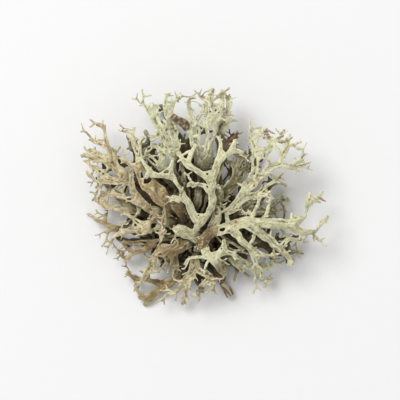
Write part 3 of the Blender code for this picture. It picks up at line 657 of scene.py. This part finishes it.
class Rim:
    """A stretch of a lobe's rim: its ends, the one nearer the foot first, and their shares of the way out."""

    def __init__(self, near, far, outward, share, far_share):
        self.near = near
        self.far = far
        self.outward = outward
        self.share = share
        self.far_share = far_share

    def at(self, part):
        return self.near.lerp(self.far, part)

    @property
    def length(self):
        return (self.far - self.near).length

    @property
    def onward(self):
        return (self.far - self.near).normalized()

    @property
    def side(self):
        return 1.0 if self.onward.cross(self.outward).z > 0 else -1.0


class RimMap:
    """Tells, for any spot on a frond, how far the nearest rim is and where along the frond that rim lies."""

    step = 0.25 * MM

    def __init__(self, rims):
        places, facts = [], []
        for rim in rims:
            steps = max(2, round(rim.length / self.step))
            for n in range(steps):
                part = (n + 0.5) / steps
                places.append(rim.at(part))
                facts.append((rim.share + (rim.far_share - rim.share) * part, rim.side))
        self.facts = np.array(facts)
        self.tree = KDTree(len(places))
        for n, place in enumerate(places):
            self.tree.insert(place, n)
        self.tree.balance()

    def read(self, points):
        """The distance from the rim, the share of the way out, and the rim's side, for each point."""
        found = [self.tree.find(point)[1:] for point in points]
        nearest = np.array([index for index, _ in found])
        distance = np.array([distance for _, distance in found])
        return distance, self.facts[nearest, 0], self.facts[nearest, 1]


class Canopy:
    """How high the tuft stands over each spot of the floor, read from the CAD fronds."""

    cell = 0.8 * MM
    edge = 6 * MM
    clearance = 0.7 * MM                # what is this little above a point doesn't cover it
    rings = ((0.0, 1, 2.0), (1.4 * MM, 6, 1.0), (3.0 * MM, 8, 0.6))     # radius, number of samples, weight

    def __init__(self):
        self.low = np.array(CAD_LOW)[:2] - self.edge
        count = (np.array(CAD_HIGH)[:2] + self.edge - self.low) / self.cell
        self.top = np.zeros(np.ceil(count).astype(int) + 1)
        steps = np.linspace(0, 1, 13)
        weights = np.array([(a, b, 1 - a - b) for a in steps for b in steps if a + b <= 1.0001])
        for obj in frame["nodes"].values():
            obj.data.calc_loop_triangles()
            corners = np.array([triangle.vertices for triangle in obj.data.loop_triangles])
            samples = np.einsum("sk,nkc->nsc", weights, coordinates(obj.data)[corners]).reshape(-1, 3)
            np.maximum.at(self.top, self.cells(samples), samples[:, 2])

    def cells(self, points):
        index = ((points[:, :2] - self.low) / self.cell).astype(int)
        index = np.clip(index, 0, np.array(self.top.shape) - 1)
        return index[:, 0], index[:, 1]

    def cover(self, points, full=4.5 * MM):
        """0 in the open, and 1 where lobes stand well over a point on all sides."""
        total = np.zeros(len(points))
        for radius, count, weight in self.rings:
            for n in range(count):
                angle = 2 * math.pi * n / count
                moved = points + np.array((radius * math.cos(angle), radius * math.sin(angle), 0.0))
                above = self.top[self.cells(moved)] - points[:, 2] - self.clearance
                total += weight * np.clip(above / full, 0, 1)
        return total / sum(count * weight for _, count, weight in self.rings)


def holdfast_middle():
    low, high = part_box("holdfast")
    return Vector(((low.x + high.x) / 2, (low.y + high.y) / 2, 0))


def holdfast_line():
    low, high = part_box("holdfast")
    top = high.z
    return Vector((low.x, high.y, top)), Vector((high.x, low.y, top))


def off_holdfast(point):
    """How far a point is from the crust's middle line."""
    start, end = holdfast_line()
    along = end - start
    share = max(0.0, min(1.0, (point - start).dot(along) / along.length_squared))
    return (point - start - along * share).length


def reach_of(mesh):
    """Each vertex's distance from the frond's foot, along the cage's edges."""
    foot = min(mesh.verts, key=lambda vert: off_holdfast(vert.co))
    reach = {foot: 0.0}
    queue = [(0.0, foot.index, foot)]
    while queue:
        so_far, _, vert = heapq.heappop(queue)
        if so_far > reach[vert]:
            continue
        for edge in vert.link_edges:
            other = edge.other_vert(vert)
            total = so_far + edge.calc_length()
            if total < reach.get(other, math.inf):
                reach[other] = total
                heapq.heappush(queue, (total, other.index, other))
    return reach


def closes_limb(face, walls):
    """Whether a rim face ends a limb: the two rims beside it lie behind it and look opposite ways."""
    middle = face.calc_center_median()
    beside = [other for edge in walls for other in edge.link_faces if other is not face]
    behind = all((other.calc_center_median() - middle).dot(face.normal) < 0 for other in beside)
    return behind and beside[0].normal.dot(beside[1].normal) < -0.3


def read_cage(obj):
    """The rims and tips of a frond's cage and the middle of its foot. A tip is (middle, heading)."""
    mesh = bmesh.new()
    mesh.from_mesh(obj.data)
    reach = reach_of(mesh)
    farthest = max(reach.values())
    rims, tips, foot = [], [], None
    for face in mesh.faces:
        walls = [edge for edge in face.edges if edge.calc_length() < RIM_HEIGHT
                 and abs((edge.verts[0].co - edge.verts[1].co).normalized().z) > 0.6]
        if len(face.verts) != 4 or len(walls) != 2:
            continue
        ends = []
        for edge in walls:
            one, other = edge.verts
            ends.append(((reach[one] + reach[other]) / 2, (one.co + other.co) / 2))
        (near, a), (far, b) = sorted(ends, key=lambda end: end[0])
        if closes_limb(face, walls):
            if near > FOOT_REACH:
                tips.append(((a + b) / 2, face.normal.copy()))
            else:
                foot = ((a + b) / 2).copy()
        else:
            rims.append(Rim(a, b, face.normal.copy(), near / farthest, far / farthest))
    mesh.free()
    return rims, tips, foot


# ---------------------------------------------------------------- a frond

def cage_from(node):
    """The CAD node's mesh as quads, merged, with its rims creased so that rounding keeps its breadth."""
    obj = copy_of(frame["nodes"][node], node + "_skin")
    obj.data.materials.clear()
    start_editing(obj)
    bpy.ops.mesh.select_all(action="SELECT")
    bpy.ops.mesh.remove_doubles(threshold=0.01 * MM)
    bpy.ops.mesh.tris_convert_to_quads(face_threshold=math.radians(50), shape_threshold=math.radians(180))
    bpy.ops.mesh.select_all(action="DESELECT")
    bpy.ops.mesh.select_mode(type="EDGE")
    bpy.ops.mesh.edges_select_sharp(sharpness=math.radians(55))
    bpy.ops.transform.edge_crease(value=0.55)
    stop_editing()
    return obj


def draw_foot(obj, foot, graft=None):
    """Draws a frond's foot onwards and down into the crust, or into the frond that it is grafted on."""
    start_editing(obj)
    mesh = bmesh.from_edit_mesh(obj.data)
    end = min(mesh.faces, key=lambda face: (face.calc_center_median() - foot).length)
    along, down = FOOT_SHIFT
    shift, narrow = graft or (end.normal * along - UP * down, FOOT_NARROWING)
    chosen = end.index
    select_faces(obj, lambda face: face.index == chosen)
    bpy.ops.mesh.extrude_region_move(TRANSFORM_OT_translate={"value": shift})
    bpy.ops.transform.resize(value=(narrow, narrow, 1), center_override=foot + shift)
    stop_editing()


def breadth_of(face):
    """The narrower of a four-sided face's two middle widths."""
    a, b, c, d = (vert.co for vert in face.verts)
    return min(((a + b) / 2 - (c + d) / 2).length, ((b + c) / 2 - (d + a) / 2).length)


def cut_windows(obj, draw, from_foot):
    """Cuts holes through some of the broad lobes, each from an upper face to the face under it."""
    start_editing(obj)
    mesh = bmesh.from_edit_mesh(obj.data)
    broad = [face for face in mesh.faces if len(face.verts) == 4 and abs(face.normal.z) > 0.6
             and breadth_of(face) > WINDOW_BREADTH]
    lower = [face.calc_center_median() for face in broad if face.normal.z < 0]
    windows = []
    for face in broad:
        over = face.calc_center_median()
        under = min(lower, key=lambda spot: (spot - over).length)
        if face.normal.z > 0 and (under - over).length < LOBE_THICKNESS and off_holdfast(over) > from_foot:
            windows.append((over.copy(), under.copy(), breadth_of(face)))
    for over, under, breadth in windows:
        broadest = breadth > BROADEST
        if not broadest and draw.random() > shape().window_share:
            continue
        rim = LARGE_WINDOW_RIM if broadest else draw.uniform(*WINDOW_RIM)
        select_faces(obj, lambda face: min((face.calc_center_median() - over).length,
                                           (face.calc_center_median() - under).length) < 0.02 * MM)
        bpy.ops.mesh.inset(thickness=rim * breadth, depth=0)
        bpy.ops.mesh.bridge_edge_loops()
    stop_editing()


def arch(obj, rim_map, way):
    """Raises (or, with way -1, sinks) the middle of each lobe over its rims."""
    points = coordinates(obj.data)
    from_rim = rim_map.read(points)[0]
    points[:, 2] += way * shape().arch * np.minimum(from_rim - 0.25 * MM, 1.3 * MM).clip(0)
    set_coordinates(obj.data, points)


def fold(obj, from_rim, reach, side, start):
    """Raises folds on the lobes: quick to change across a lobe and slow to change along it."""
    settings = shape()
    across = from_rim / settings.fold_breadth
    along = reach / settings.fold_length
    height = np.array([noise.noise((a, b, 2.7 * c + start)) for a, b, c in zip(across, along, side)])
    height *= np.clip(from_rim / (0.5 * MM), 0.2, 1) * settings.fold
    mesh = obj.data
    set_coordinates(mesh, coordinates(mesh) + normals(mesh) * height[:, None])


def inside_box(point, room=0.5 * MM):
    return all(low + room < value < high - room for value, low, high in zip(point, CAD_LOW, CAD_HIGH))


def tipped(heading, sideways, upwards):
    """A heading turned sideways in plan and lifted."""
    turned = Matrix.Rotation(sideways, 3, "Z") @ heading
    turned.z += upwards
    return turned.normalized()


def lobules_for(rims, tips, patterns, draw, crowd):
    """Small forked lobules along the outer rims and a fan of them at each tip."""
    made = []

    def add(pattern, root, heading, scale):
        reach = pattern.dimensions.y * scale
        if inside_box(root + heading.normalized() * reach):
            made.append(copy_of(pattern, "lobule", aimed(root, heading, draw.uniform(-0.5, 0.5), scale)))

    for middle, heading in tips:
        flat = Vector((heading.x, heading.y, 0.4 * heading.z)).normalized()
        for angle in draw.choice(FANS):
            turned = tipped(flat, math.radians(angle + draw.uniform(-8, 8)), draw.uniform(-0.1, 0.25))
            pattern = draw.choice(patterns.short[:3] + patterns.long[2:] + patterns.short[:2])
            add(pattern, middle - flat * draw.uniform(1.2, 1.9) * MM, turned, draw.uniform(0.55, 0.9))
    for rim in rims:
        outer = max(0.0, min(1.0, (rim.share - 0.3) / 0.35))
        count = rim.length / shape().lobule_spacing * crowd * (0.05 + 0.65 * outer)
        for _ in range(int(count + draw.random())):
            heading = (rim.onward + rim.outward * draw.uniform(0.5, 1.2)).normalized()
            heading.z += draw.uniform(-0.15, 0.3)
            root = rim.at(draw.random()) - rim.outward * 0.35 * MM
            pattern = draw.choice(patterns.long if draw.random() < LONG_SHARE else patterns.short)
            add(pattern, root, heading, draw.uniform(0.7, 1.15))
    return made


def webs_for(rims, patterns, draw):
    """Thin struts across the narrow gaps between two limbs of the frond."""
    narrowest, steepest, facing, sunk = 1.0 * MM, 0.35, 0.55, 0.3 * MM
    points = []
    for rim in rims:
        for _ in range(max(1, int(rim.length / WEB_TRIAL_SPACING))):
            points.append((rim.at(draw.random()), rim.outward))
    draw.shuffle(points)
    made, used = [], []
    settings = shape()
    for n, (a, out_a) in enumerate(points):
        for b, out_b in points[n + 1:]:
            gap = b - a
            width = gap.length
            if not narrowest < width < settings.web_reach or abs(gap.z) > steepest * width:
                continue
            if out_a.dot(gap) < facing * width or out_b.dot(gap) > -facing * width:
                continue
            middle = (a + b) / 2
            if any((middle - other).length < settings.web_spacing for other in used):
                continue
            used.append(middle)
            root = a - gap.normalized() * sunk
            stretch = (width + 2 * sunk) / WEB_LENGTH
            scale = draw.uniform(0.8, 1.5)
            place = aimed(root, gap, draw.uniform(-0.3, 0.3), scale, stretch / scale)
            made.append(copy_of(patterns.web, "web", place))
            break
    return made


def drop_islands(obj, least):
    """Deletes the loose bits that have fewer vertices than that."""
    mesh = bmesh.new()
    mesh.from_mesh(obj.data)
    seen = set()
    for first in mesh.verts:
        if first in seen:
            continue
        seen.add(first)
        island = [first]
        for vert in island:
            beside = [edge.other_vert(vert) for edge in vert.link_edges]
            fresh = [other for other in beside if other not in seen]
            seen.update(fresh)
            island.extend(fresh)
        for vert in island:
            vert.select_set(len(island) < least)
    mesh.to_mesh(obj.data)
    mesh.free()
    make_active(obj)
    bpy.ops.object.mode_set(mode="EDIT")
    bpy.ops.mesh.select_mode(type="VERT")
    bpy.ops.mesh.delete(type="VERT")
    stop_editing()


def fuse(obj, size):
    """One closed skin round all that obj holds."""
    apply_modifier(obj, "REMESH", mode="VOXEL", voxel_size=size)
    apply_modifier(obj, "SMOOTH", factor=0.5, iterations=2)


def sway(obj):
    """Bends the lobes a little, all pieces alike where they touch."""
    settings = shape()
    wobble = texture("wobble", "CLOUDS", cloud_type="COLOR", noise_scale=settings.wobble_size, noise_depth=1)
    apply_modifier(obj, "DISPLACE", texture=wobble, texture_coords="LOCAL", direction="RGB_TO_XYZ",
                   strength=settings.wobble, mid_level=0.5)


def wrinkle(obj, ridge, ridge_size, folding=None):
    """Raises folds and a net of ridges on the surface, and notes where they stand high."""
    before, along = coordinates(obj.data), normals(obj.data)
    if folding:
        fold(obj, *folding)
    net = texture("net_%d" % round(ridge_size / MM * 10), "VORONOI", noise_scale=ridge_size, weight_1=-1.0,
                  weight_2=1.0, noise_intensity=1.0)
    apply_modifier(obj, "DISPLACE", texture=net, texture_coords="LOCAL", strength=-ridge, mid_level=0.3)
    knobs = texture("knobs", "CLOUDS", noise_scale=0.9 * MM, noise_depth=2)
    apply_modifier(obj, "DISPLACE", texture=knobs, texture_coords="LOCAL", strength=0.7 * ridge,
                   mid_level=0.5)
    lift = ((coordinates(obj.data) - before) * along).sum(1)
    low, high = np.percentile(lift, (4, 96))
    set_attribute(obj.data, "ridge", np.clip((lift - low) / (high - low), 0, 1))


def keep_in_box(obj):
    """Lays what dips below the floor on it, and draws in what comes near the CAD box's other sides."""
    points = coordinates(obj.data)
    room, margin = 1.5 * MM, 0.02 * MM
    floor = CAD_LOW.z + margin
    start = np.array(CAD_LOW) + margin + room
    stop = np.array(CAD_HIGH) - margin - room
    points = np.where(points > stop, stop + room * np.tanh((points - stop) / room), points)
    flat = points[:, :2]
    points[:, :2] = np.where(flat < start[:2], start[:2] - room * np.tanh((start[:2] - flat) / room), flat)
    points[:, 2] = np.maximum(points[:, 2], floor)
    set_coordinates(obj.data, points)


def hollowness(mesh, points):
    """0 on crests, 0.5 on even ground and 1 in hollows."""
    even = np.stack([spread(mesh, points[:, axis], 8) for axis in range(3)], axis=1)
    deepest = 0.06 * MM
    return np.clip(0.5 + ((even - points) * normals(mesh)).sum(1) / (2 * deepest), 0, 1)


def browned(points):
    """How far each point lies within one of the brown places under the crown, from 0 to 1."""
    middle = holdfast_middle()
    found = np.zeros(len(points))
    for x, y, radius in STAINS:
        away = np.hypot(points[:, 0] - middle.x - x * MM, points[:, 1] - middle.y - y * MM)
        found = np.maximum(found, np.clip(1.6 - 1.6 * away / (radius * MM), 0, 1))
    return found * np.clip((STAIN_TOP - points[:, 2]) / MM, 0, 1)


def note_places(obj, canopy, tip_points, out=0.0, tint=0.0):
    """Marks rims, nearness to a tip, cover by other lobes, hollows, stains, the way out and the wear."""
    mesh = obj.data
    points = coordinates(mesh)
    edge_on = 1.0 - np.abs(normals(mesh)[:, 2])
    # Edge-on faces are marked as rims, which the lichen material paints pale, partly as their own colour and
    # partly as a painted highlight.
    set_attribute(mesh, "margin", np.clip(spread(mesh, np.clip(edge_on * 1.6 - 0.5, 0, 1), 2), 0, 1))
    tree = KDTree(len(tip_points))
    for n, point in enumerate(tip_points):
        tree.insert(point, n)
    tree.balance()
    distance = np.array([tree.find(point)[2] for point in points])
    set_attribute(mesh, "tip", np.exp(-distance / TIP_LENGTH))
    # The cover by other lobes, which the materials paint as shade.
    set_attribute(mesh, "depth", spread(mesh, canopy.cover(points), 4))
    # The lichen material paints hollows darker and crests paler, as painted shade and painted highlight.
    set_attribute(mesh, "hollow", hollowness(mesh, points))
    set_attribute(mesh, "stain", browned(points))
    set_attribute(mesh, "out", np.zeros(len(points)) + out)
    set_attribute(mesh, "tint", np.zeros(len(points)) + tint)


def dress(obj, name, patterns, canopy, wear=0.5, crowd=1.0):
    """Rounds a frond's cage, gives it lobules, webs, folds and ridges, and notes what its material reads."""
    draw = random.Random("%s %d" % (name, shape().seed))
    rims, tips, foot = read_cage(obj)
    rim_map = RimMap(rims)
    if foot:
        draw_foot(obj, foot, GRAFTED.get(name))
    if name not in NO_WINDOWS:
        cut_windows(obj, draw, FAR_WINDOWS_FROM if name in FAR_WINDOWS else WINDOWS_FROM)
    subdivide_surface(obj, 2)
    arch(obj, rim_map, -1 if draw.random() < 0.35 else 1)
    obj = joined([obj, *lobules_for(rims, tips, patterns, draw, crowd), *webs_for(rims, patterns, draw)])
    fuse(obj, shape().mesh_size)
    from_rim, out, side = rim_map.read(coordinates(obj.data))
    sway(obj)
    reach = out * (CAD_HIGH - CAD_LOW).x / 2
    wrinkle(obj, shape().ridge, shape().ridge_size, (from_rim, reach, side, draw.uniform(0, 50)))
    keep_in_box(obj)
    tip_points = [middle + heading * 1.5 * MM for middle, heading in tips] or [rims[-1].far]
    note_places(obj, canopy, tip_points, out, wear * np.clip((0.85 - out) / 0.3, 0.3, 1))
    return obj


def hand_over(obj, node, material):
    """Gives a finished piece its material and its body, names it after the CAD node that it stands for, and
    hides that node.
    """
    make_active(obj)
    bpy.ops.object.shade_smooth()
    obj.data.materials.clear()
    obj.data.materials.append(material)
    obj.name = node + "_skin"
    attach(obj, BODY)
    if node in frame["nodes"]:
        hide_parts(node)
    return obj


def nodes_with_slot(slot):
    return [part["node"] for part in frame["record"]["subparts"] if part["material_slot"] == slot]


class FrondsOfOneFinish:
    """What the frond operators share: all the fronds of one material slot."""

    bl_options = {"REGISTER", "UNDO"}
    slot = ""
    face = ""
    worn = ""
    age = 0.0

    def execute(self, context):
        paint = colours()
        name = self.bl_label.title().replace(" ", "")
        material = lichen_material(name, getattr(paint, self.face), getattr(paint, self.worn), self.age)
        canopy = Canopy()
        with Patterns() as patterns:
            for node in nodes_with_slot(self.slot):
                obj = dress(cage_from(node), node, patterns, canopy, *WEAR.get(node, ()))
                hand_over(obj, node, material)
        return {"FINISHED"}


class LICHEN_OT_pale_fronds(FrondsOfOneFinish, bpy.types.Operator):
    """Models the pale fronds of the crown and the right side"""

    bl_idname = "lichen.pale_fronds"
    bl_label = "Pale fronds"
    slot, face, worn, age = "pale_lobe", "pale", "tan", 0.0


class LICHEN_OT_grey_green_fronds(FrondsOfOneFinish, bpy.types.Operator):
    """Models the grey-green fronds at the top"""

    bl_idname = "lichen.grey_green_fronds"
    bl_label = "Grey-green fronds"
    slot, face, worn, age = "grey_green_lobe", "grey_green", "tan", 0.0


class LICHEN_OT_olive_fronds(FrondsOfOneFinish, bpy.types.Operator):
    """Models the darker fronds low in the tuft"""

    bl_idname = "lichen.olive_fronds"
    bl_label = "Olive fronds"
    slot, face, worn, age = "olive_lobe", "olive", "umber", 0.1


class LICHEN_OT_tan_fronds(FrondsOfOneFinish, bpy.types.Operator):
    """Models the weathered fronds on the left"""

    bl_idname = "lichen.tan_fronds"
    bl_label = "Tan fronds"
    slot, face, worn, age = "tan_lobe", "cream", "dun", 0.05


class LICHEN_OT_brown_fronds(FrondsOfOneFinish, bpy.types.Operator):
    """Models the old brown fronds"""

    bl_idname = "lichen.brown_fronds"
    bl_label = "Brown fronds"
    slot, face, worn, age = "brown_lobe", "brown", "umber", 0.2


# ---------------------------------------------------------------- the other pieces

def end_of_twig(obj):
    """The middle and outward normal of the twig's lower broken end."""
    ends = [face for face in obj.data.polygons if abs(face.normal.z) < 0.2]
    last = min(ends, key=lambda face: face.center.y)
    return last.center.copy(), last.normal.copy()


class LICHEN_OT_twig(bpy.types.Operator):
    """Models the broken twig with furrowed bark"""

    bl_idname = "lichen.twig"
    bl_label = "Twig"

    mesh_size = 0.16 * MM
    bark_rim, sunk = 0.4 * MM, 0.7 * MM             # the bark left round the broken end, and the wood's depth
    bare_length, bare_fade = 5.2 * MM, 1.2 * MM     # the stretch that has lost its bark on top
    furrow_breadth, furrow_length, furrow_height = 0.5 * MM, 4 * MM, 0.35 * MM
    # The twig narrows at a neck that far behind its end, and tapers at the end itself.
    neck_place, neck_length, neck_share = 4.4 * MM, 1.5 * MM, 0.36
    taper_length, taper_share = 2.5 * MM, 0.14
    # A split runs along the bare wood, a little to one side.
    split_side, split_breadth, split_depth = 0.2 * MM, 0.35 * MM, 0.5 * MM

    def break_end(self, obj, middle, heading):
        """Sinks the wood of the broken end into the bark."""
        start_editing(obj)
        select_faces(obj, lambda face: face.normal.dot(heading) > 0.9
                     and (face.calc_center_median() - middle).length < 2 * MM)
        bpy.ops.mesh.inset(thickness=self.bark_rim, depth=0)
        bpy.ops.mesh.extrude_region_move(TRANSFORM_OT_translate={"value": -heading * self.sunk})
        stop_editing()

    def weather(self, obj, middle, heading):
        """Furrows the bark, bares and splits the wood by the end, and draws the twig in behind it."""
        mesh = obj.data
        points, outwards = coordinates(mesh), normals(mesh)
        ahead, across = np.array(heading), np.array(heading.cross(UP))
        from_end = -(points - np.array(middle)) @ ahead
        axis = np.array(middle) - from_end[:, None] * ahead
        side = (points - axis) @ across
        upper = np.clip((outwards[:, 2] - 0.4) / 0.3, 0, 1)
        end = np.clip((self.bare_length - from_end) / self.bare_fade, 0, 1)
        bare = np.maximum(np.clip(1.5 - from_end / self.bark_rim, 0, 1), upper * end)
        lengthwise = (points @ across / self.furrow_breadth, points[:, 2] / self.furrow_breadth,
                      points @ ahead / self.furrow_length)
        furrows = np.array([noise.noise(spot) for spot in zip(*lengthwise)])
        neck = self.neck_share * np.exp(-((from_end - self.neck_place) / self.neck_length) ** 2)
        slim = 1 - neck - self.taper_share * np.clip(1 - from_end / self.taper_length, 0, 1)
        bent = axis + (points - axis) * slim[:, None] + outwards * furrows[:, None] * self.furrow_height
        split = np.exp(-((side - self.split_side) / self.split_breadth) ** 2)
        bent[:, 2] -= self.split_depth * split * upper * end
        set_coordinates(mesh, bent)
        set_attribute(mesh, "bare", bare)
        set_attribute(mesh, "grain", furrows)

    def execute(self, context):
        obj = cage_from("twig")
        middle, heading = end_of_twig(obj)
        self.break_end(obj, middle, heading)
        subdivide_surface(obj, 2)
        fuse(obj, self.mesh_size)
        self.weather(obj, middle, heading)
        wrinkle(obj, 0.16 * MM, 1.2 * MM)
        keep_in_box(obj)
        note_places(obj, Canopy(), [middle])
        hand_over(obj, "twig", bark_material())
        return {"FINISHED"}


class LICHEN_OT_holdfast(bpy.types.Operator):
    """Models the crust that holds the lichen to the twig"""

    bl_idname = "lichen.holdfast"
    bl_label = "Holdfast"

    bits, sunk = 60, 0.7 * MM       # the small lobes on the crust, and how deep they start in it

    def execute(self, context):
        obj = cage_from("holdfast")
        start, end = holdfast_line()
        draw = random.Random(shape().seed)
        with Patterns() as patterns:
            bits = []
            for _ in range(self.bits):
                root = start.lerp(end, draw.uniform(0.04, 0.96)) - UP * self.sunk
                heading = Vector((draw.uniform(-1, 1), draw.uniform(-1, 1), draw.uniform(0, 0.5)))
                place = aimed(root, heading, draw.uniform(-1, 1), draw.uniform(0.5, 1.1))
                bits.append(copy_of(draw.choice(patterns.short), "bit", place))
            subdivide_surface(obj, 2)
            obj = joined([obj, *bits])
        fuse(obj, shape().mesh_size)
        wrinkle(obj, 0.3 * MM, 1.2 * MM)
        keep_in_box(obj)
        note_places(obj, Canopy(), [end])
        paint = colours()
        hand_over(obj, "holdfast", lichen_material("Crust", paint.brown, paint.umber, 0.4))
        return {"FINISHED"}


class LICHEN_OT_caught_bits(bpy.types.Operator):
    """Models the bark flake and the leaf scrap caught in the tuft"""

    bl_idname = "lichen.caught_bits"
    bl_label = "Caught bits"

    def execute(self, context):
        bits = (
            ("bark_flake", 0.4 * MM, bpy.data.materials["Bark"], "bark"),
            ("leaf_scrap", 0.2 * MM, leaf_material(), "dead_leaf"),
        )
        for node, ridge, material, slot in bits:
            obj = cage_from(node)
            fuse(obj, LICHEN_OT_twig.mesh_size)
            sway(obj)
            wrinkle(obj, ridge, 1.4 * MM)
            keep_in_box(obj)
            hand_over(obj, node, material)
        return {"FINISHED"}


class LICHEN_OT_old_lobes(bpy.types.Operator):
    """Models the lobes round the middle that belong to no frond: old, grey, and thin ones"""

    bl_idname = "lichen.old_lobes"
    bl_label = "Old lobes"

    # Piece, paths, material, slot, wear, and the number of lobules against the usual one.
    groups = (
        ("old_lobes", OLD_LOBES, "BrownFronds", "brown_lobe", 0.8, 0.6),
        ("grey_lobes", GREY_LOBES, "OliveFronds", "olive_lobe", 0.3, 0.6),
        ("cross_straps", CROSS_STRAPS, "PaleFronds", "pale_lobe", 0.2, 0.1),
    )

    def execute(self, context):
        middle = holdfast_middle()
        canopy = Canopy()
        with Patterns() as patterns:
            for group, paths, material, slot, wear, crowd in self.groups:
                lobes = []
                for n, path in enumerate(paths):
                    lobe = model_lobe([(middle + Vector(spot[:3]) * MM, spot[3] * MM) for spot in path])
                    lobes.append(dress(lobe, "%s_%d" % (group, n), patterns, canopy, wear, crowd))
                hand_over(joined(lobes), group, bpy.data.materials[material])
        return {"FINISHED"}


class LICHEN_OT_undergrowth(bpy.types.Operator):
    """Models the small brown lobes low in the tuft, all round the twig"""

    bl_idname = "lichen.undergrowth"
    bl_label = "Undergrowth"

    nearest, farthest = 2.0 * MM, 13.0 * MM         # how far from the crust the small lobes start
    lowest, highest = 1.0 * MM, 8.0 * MM            # how high they start, close to the crust
    slope_length = 30.0 * MM                        # away from it they start lower, down to the floor here
    least_cover, full_cover = 0.6, 2.5 * MM         # they stand only where the fronds hide them this well
    least_island = 3000                             # a loose bit with fewer vertices is left out

    def sprig(self, draw, patterns, canopy):
        """One small lobe, or None where it would show."""
        start, end = holdfast_line()
        foot = start.lerp(end, draw.uniform(-0.05, 1.0))
        angle = draw.uniform(0, 2 * math.pi)
        away = Vector((math.cos(angle), math.sin(angle), 0))
        out = draw.uniform(self.nearest, self.farthest)
        height = draw.uniform(self.lowest, self.highest) * (1 - out / self.slope_length)
        root = Vector((foot.x, foot.y, height)) + away * out
        heading = tipped(away, draw.uniform(-0.7, 0.7), draw.uniform(-0.25, 0.35))
        size = draw.uniform(1.3, 2.2)
        pattern = draw.choice(patterns.short[2:] + patterns.long)
        tip = root + heading * pattern.dimensions.y * size
        if canopy.cover(np.array((root, tip)), self.full_cover).min() < self.least_cover:
            return None
        return copy_of(pattern, "sprig", aimed(root, heading, draw.uniform(-0.7, 0.7), size))

    def execute(self, context):
        settings = shape()
        draw = random.Random(settings.seed + 1)
        canopy = Canopy()
        with Patterns() as patterns:
            sprigs = []
            while len(sprigs) < settings.undergrowth:
                sprig = self.sprig(draw, patterns, canopy)
                if sprig:
                    sprigs.append(sprig)
            obj = joined(sprigs)
        fuse(obj, settings.undergrowth_mesh_size)
        drop_islands(obj, self.least_island)
        sway(obj)
        wrinkle(obj, settings.ridge, settings.ridge_size)
        keep_in_box(obj)
        note_places(obj, canopy, [holdfast_line()[1]])
        paint = colours()
        # The undergrowth's brown is darkened as painted shade for the lobes deep in the tuft.
        material = lichen_material("Undergrowth", darker(paint.brown, 0.6), paint.umber, 0.2)
        hand_over(obj, "undergrowth", material)
        return {"FINISHED"}


# ---------------------------------------------------------------- stage

class LICHEN_OT_stage(bpy.types.Operator):
    """Lays a plain floor, lights it softly and looks straight down"""

    bl_idname = "lichen.stage"
    bl_label = "Stage"

    off_middle = Vector((-1.44, -0.65, 0)) * MM     # where the camera looks, from the tuft's middle
    key_place, key_size = Vector((-0.95, 0.95, 1.6)), 1.2

    def execute(self, context):
        settings = context.scene.lichen_stage
        bpy.ops.object.select_all(action="DESELECT")
        bpy.ops.mesh.primitive_plane_add(size=3.0, location=(0, 0, 0))
        floor = context.object
        floor.name = "floor"
        floor.data.materials.append(floor_material())

        low, high = CAD_LOW, CAD_HIGH
        aim = Vector(((low.x + high.x) / 2, (low.y + high.y) / 2, 0)) + self.off_middle
        bpy.ops.object.camera_add(location=aim + UP * settings.camera_height, rotation=(0, 0, 0))
        camera = context.object
        camera.data.lens = camera.data.sensor_width * settings.camera_height / settings.view_width
        camera.data.clip_end = 10.0
        context.scene.camera = camera

        bpy.ops.object.light_add(type="AREA", location=self.key_place)
        key = context.object
        key.name = "key"
        key.rotation_euler = (-self.key_place).to_track_quat("-Z", "Y").to_euler()
        key.data.shape = "DISK"
        key.data.size = self.key_size
        key.data.energy = settings.key_power

        world = bpy.data.worlds.new("studio")
        world.use_nodes = True
        background = world.node_tree.nodes["Background"]
        background.inputs["Color"].default_value = (1.0, 1.0, 1.0, 1.0)
        background.inputs["Strength"].default_value = settings.sky
        context.scene.world = world
        context.scene.view_settings.view_transform = "Standard"
        return {"FINISHED"}


class LICHEN_PT_panel(bpy.types.Panel):
    """Lists the pieces in the order that they are made"""

    bl_label = "Lichen"
    bl_idname = "LICHEN_PT_panel"
    bl_space_type = "VIEW_3D"
    bl_region_type = "UI"
    bl_category = "Lichen"

    def draw(self, context):
        for operator in OPERATORS:
            self.layout.operator(operator.bl_idname)
        for group in (context.scene.lichen_shape, context.scene.lichen_colours, context.scene.lichen_stage):
            for name in group.__annotations__:
                self.layout.prop(group, name)


OPERATORS = (
    LICHEN_OT_twig,
    LICHEN_OT_holdfast,
    LICHEN_OT_olive_fronds,
    LICHEN_OT_brown_fronds,
    LICHEN_OT_tan_fronds,
    LICHEN_OT_grey_green_fronds,
    LICHEN_OT_pale_fronds,
    LICHEN_OT_caught_bits,
    LICHEN_OT_old_lobes,
    LICHEN_OT_undergrowth,
    LICHEN_OT_stage,
)
GROUPS = (LichenShape, LichenColours, StageSettings)


def register():
    for cls in (*GROUPS, *OPERATORS, LICHEN_PT_panel):
        bpy.utils.register_class(cls)
    bpy.types.Scene.lichen_shape = PointerProperty(type=LichenShape)
    bpy.types.Scene.lichen_colours = PointerProperty(type=LichenColours)
    bpy.types.Scene.lichen_stage = PointerProperty(type=StageSettings)


def unregister():
    del bpy.types.Scene.lichen_stage
    del bpy.types.Scene.lichen_colours
    del bpy.types.Scene.lichen_shape
    for cls in (LICHEN_PT_panel, *reversed(OPERATORS), *reversed(GROUPS)):
        bpy.utils.unregister_class(cls)


def main():
    register()
    bpy.ops.lichen.twig()
    bpy.ops.lichen.holdfast()
    bpy.ops.lichen.olive_fronds()
    bpy.ops.lichen.brown_fronds()
    bpy.ops.lichen.tan_fronds()
    bpy.ops.lichen.grey_green_fronds()
    bpy.ops.lichen.pale_fronds()
    bpy.ops.lichen.caught_bits()
    bpy.ops.lichen.old_lobes()
    bpy.ops.lichen.undergrowth()
    bpy.ops.lichen.stage()


if __name__ == "__main__":
    main()
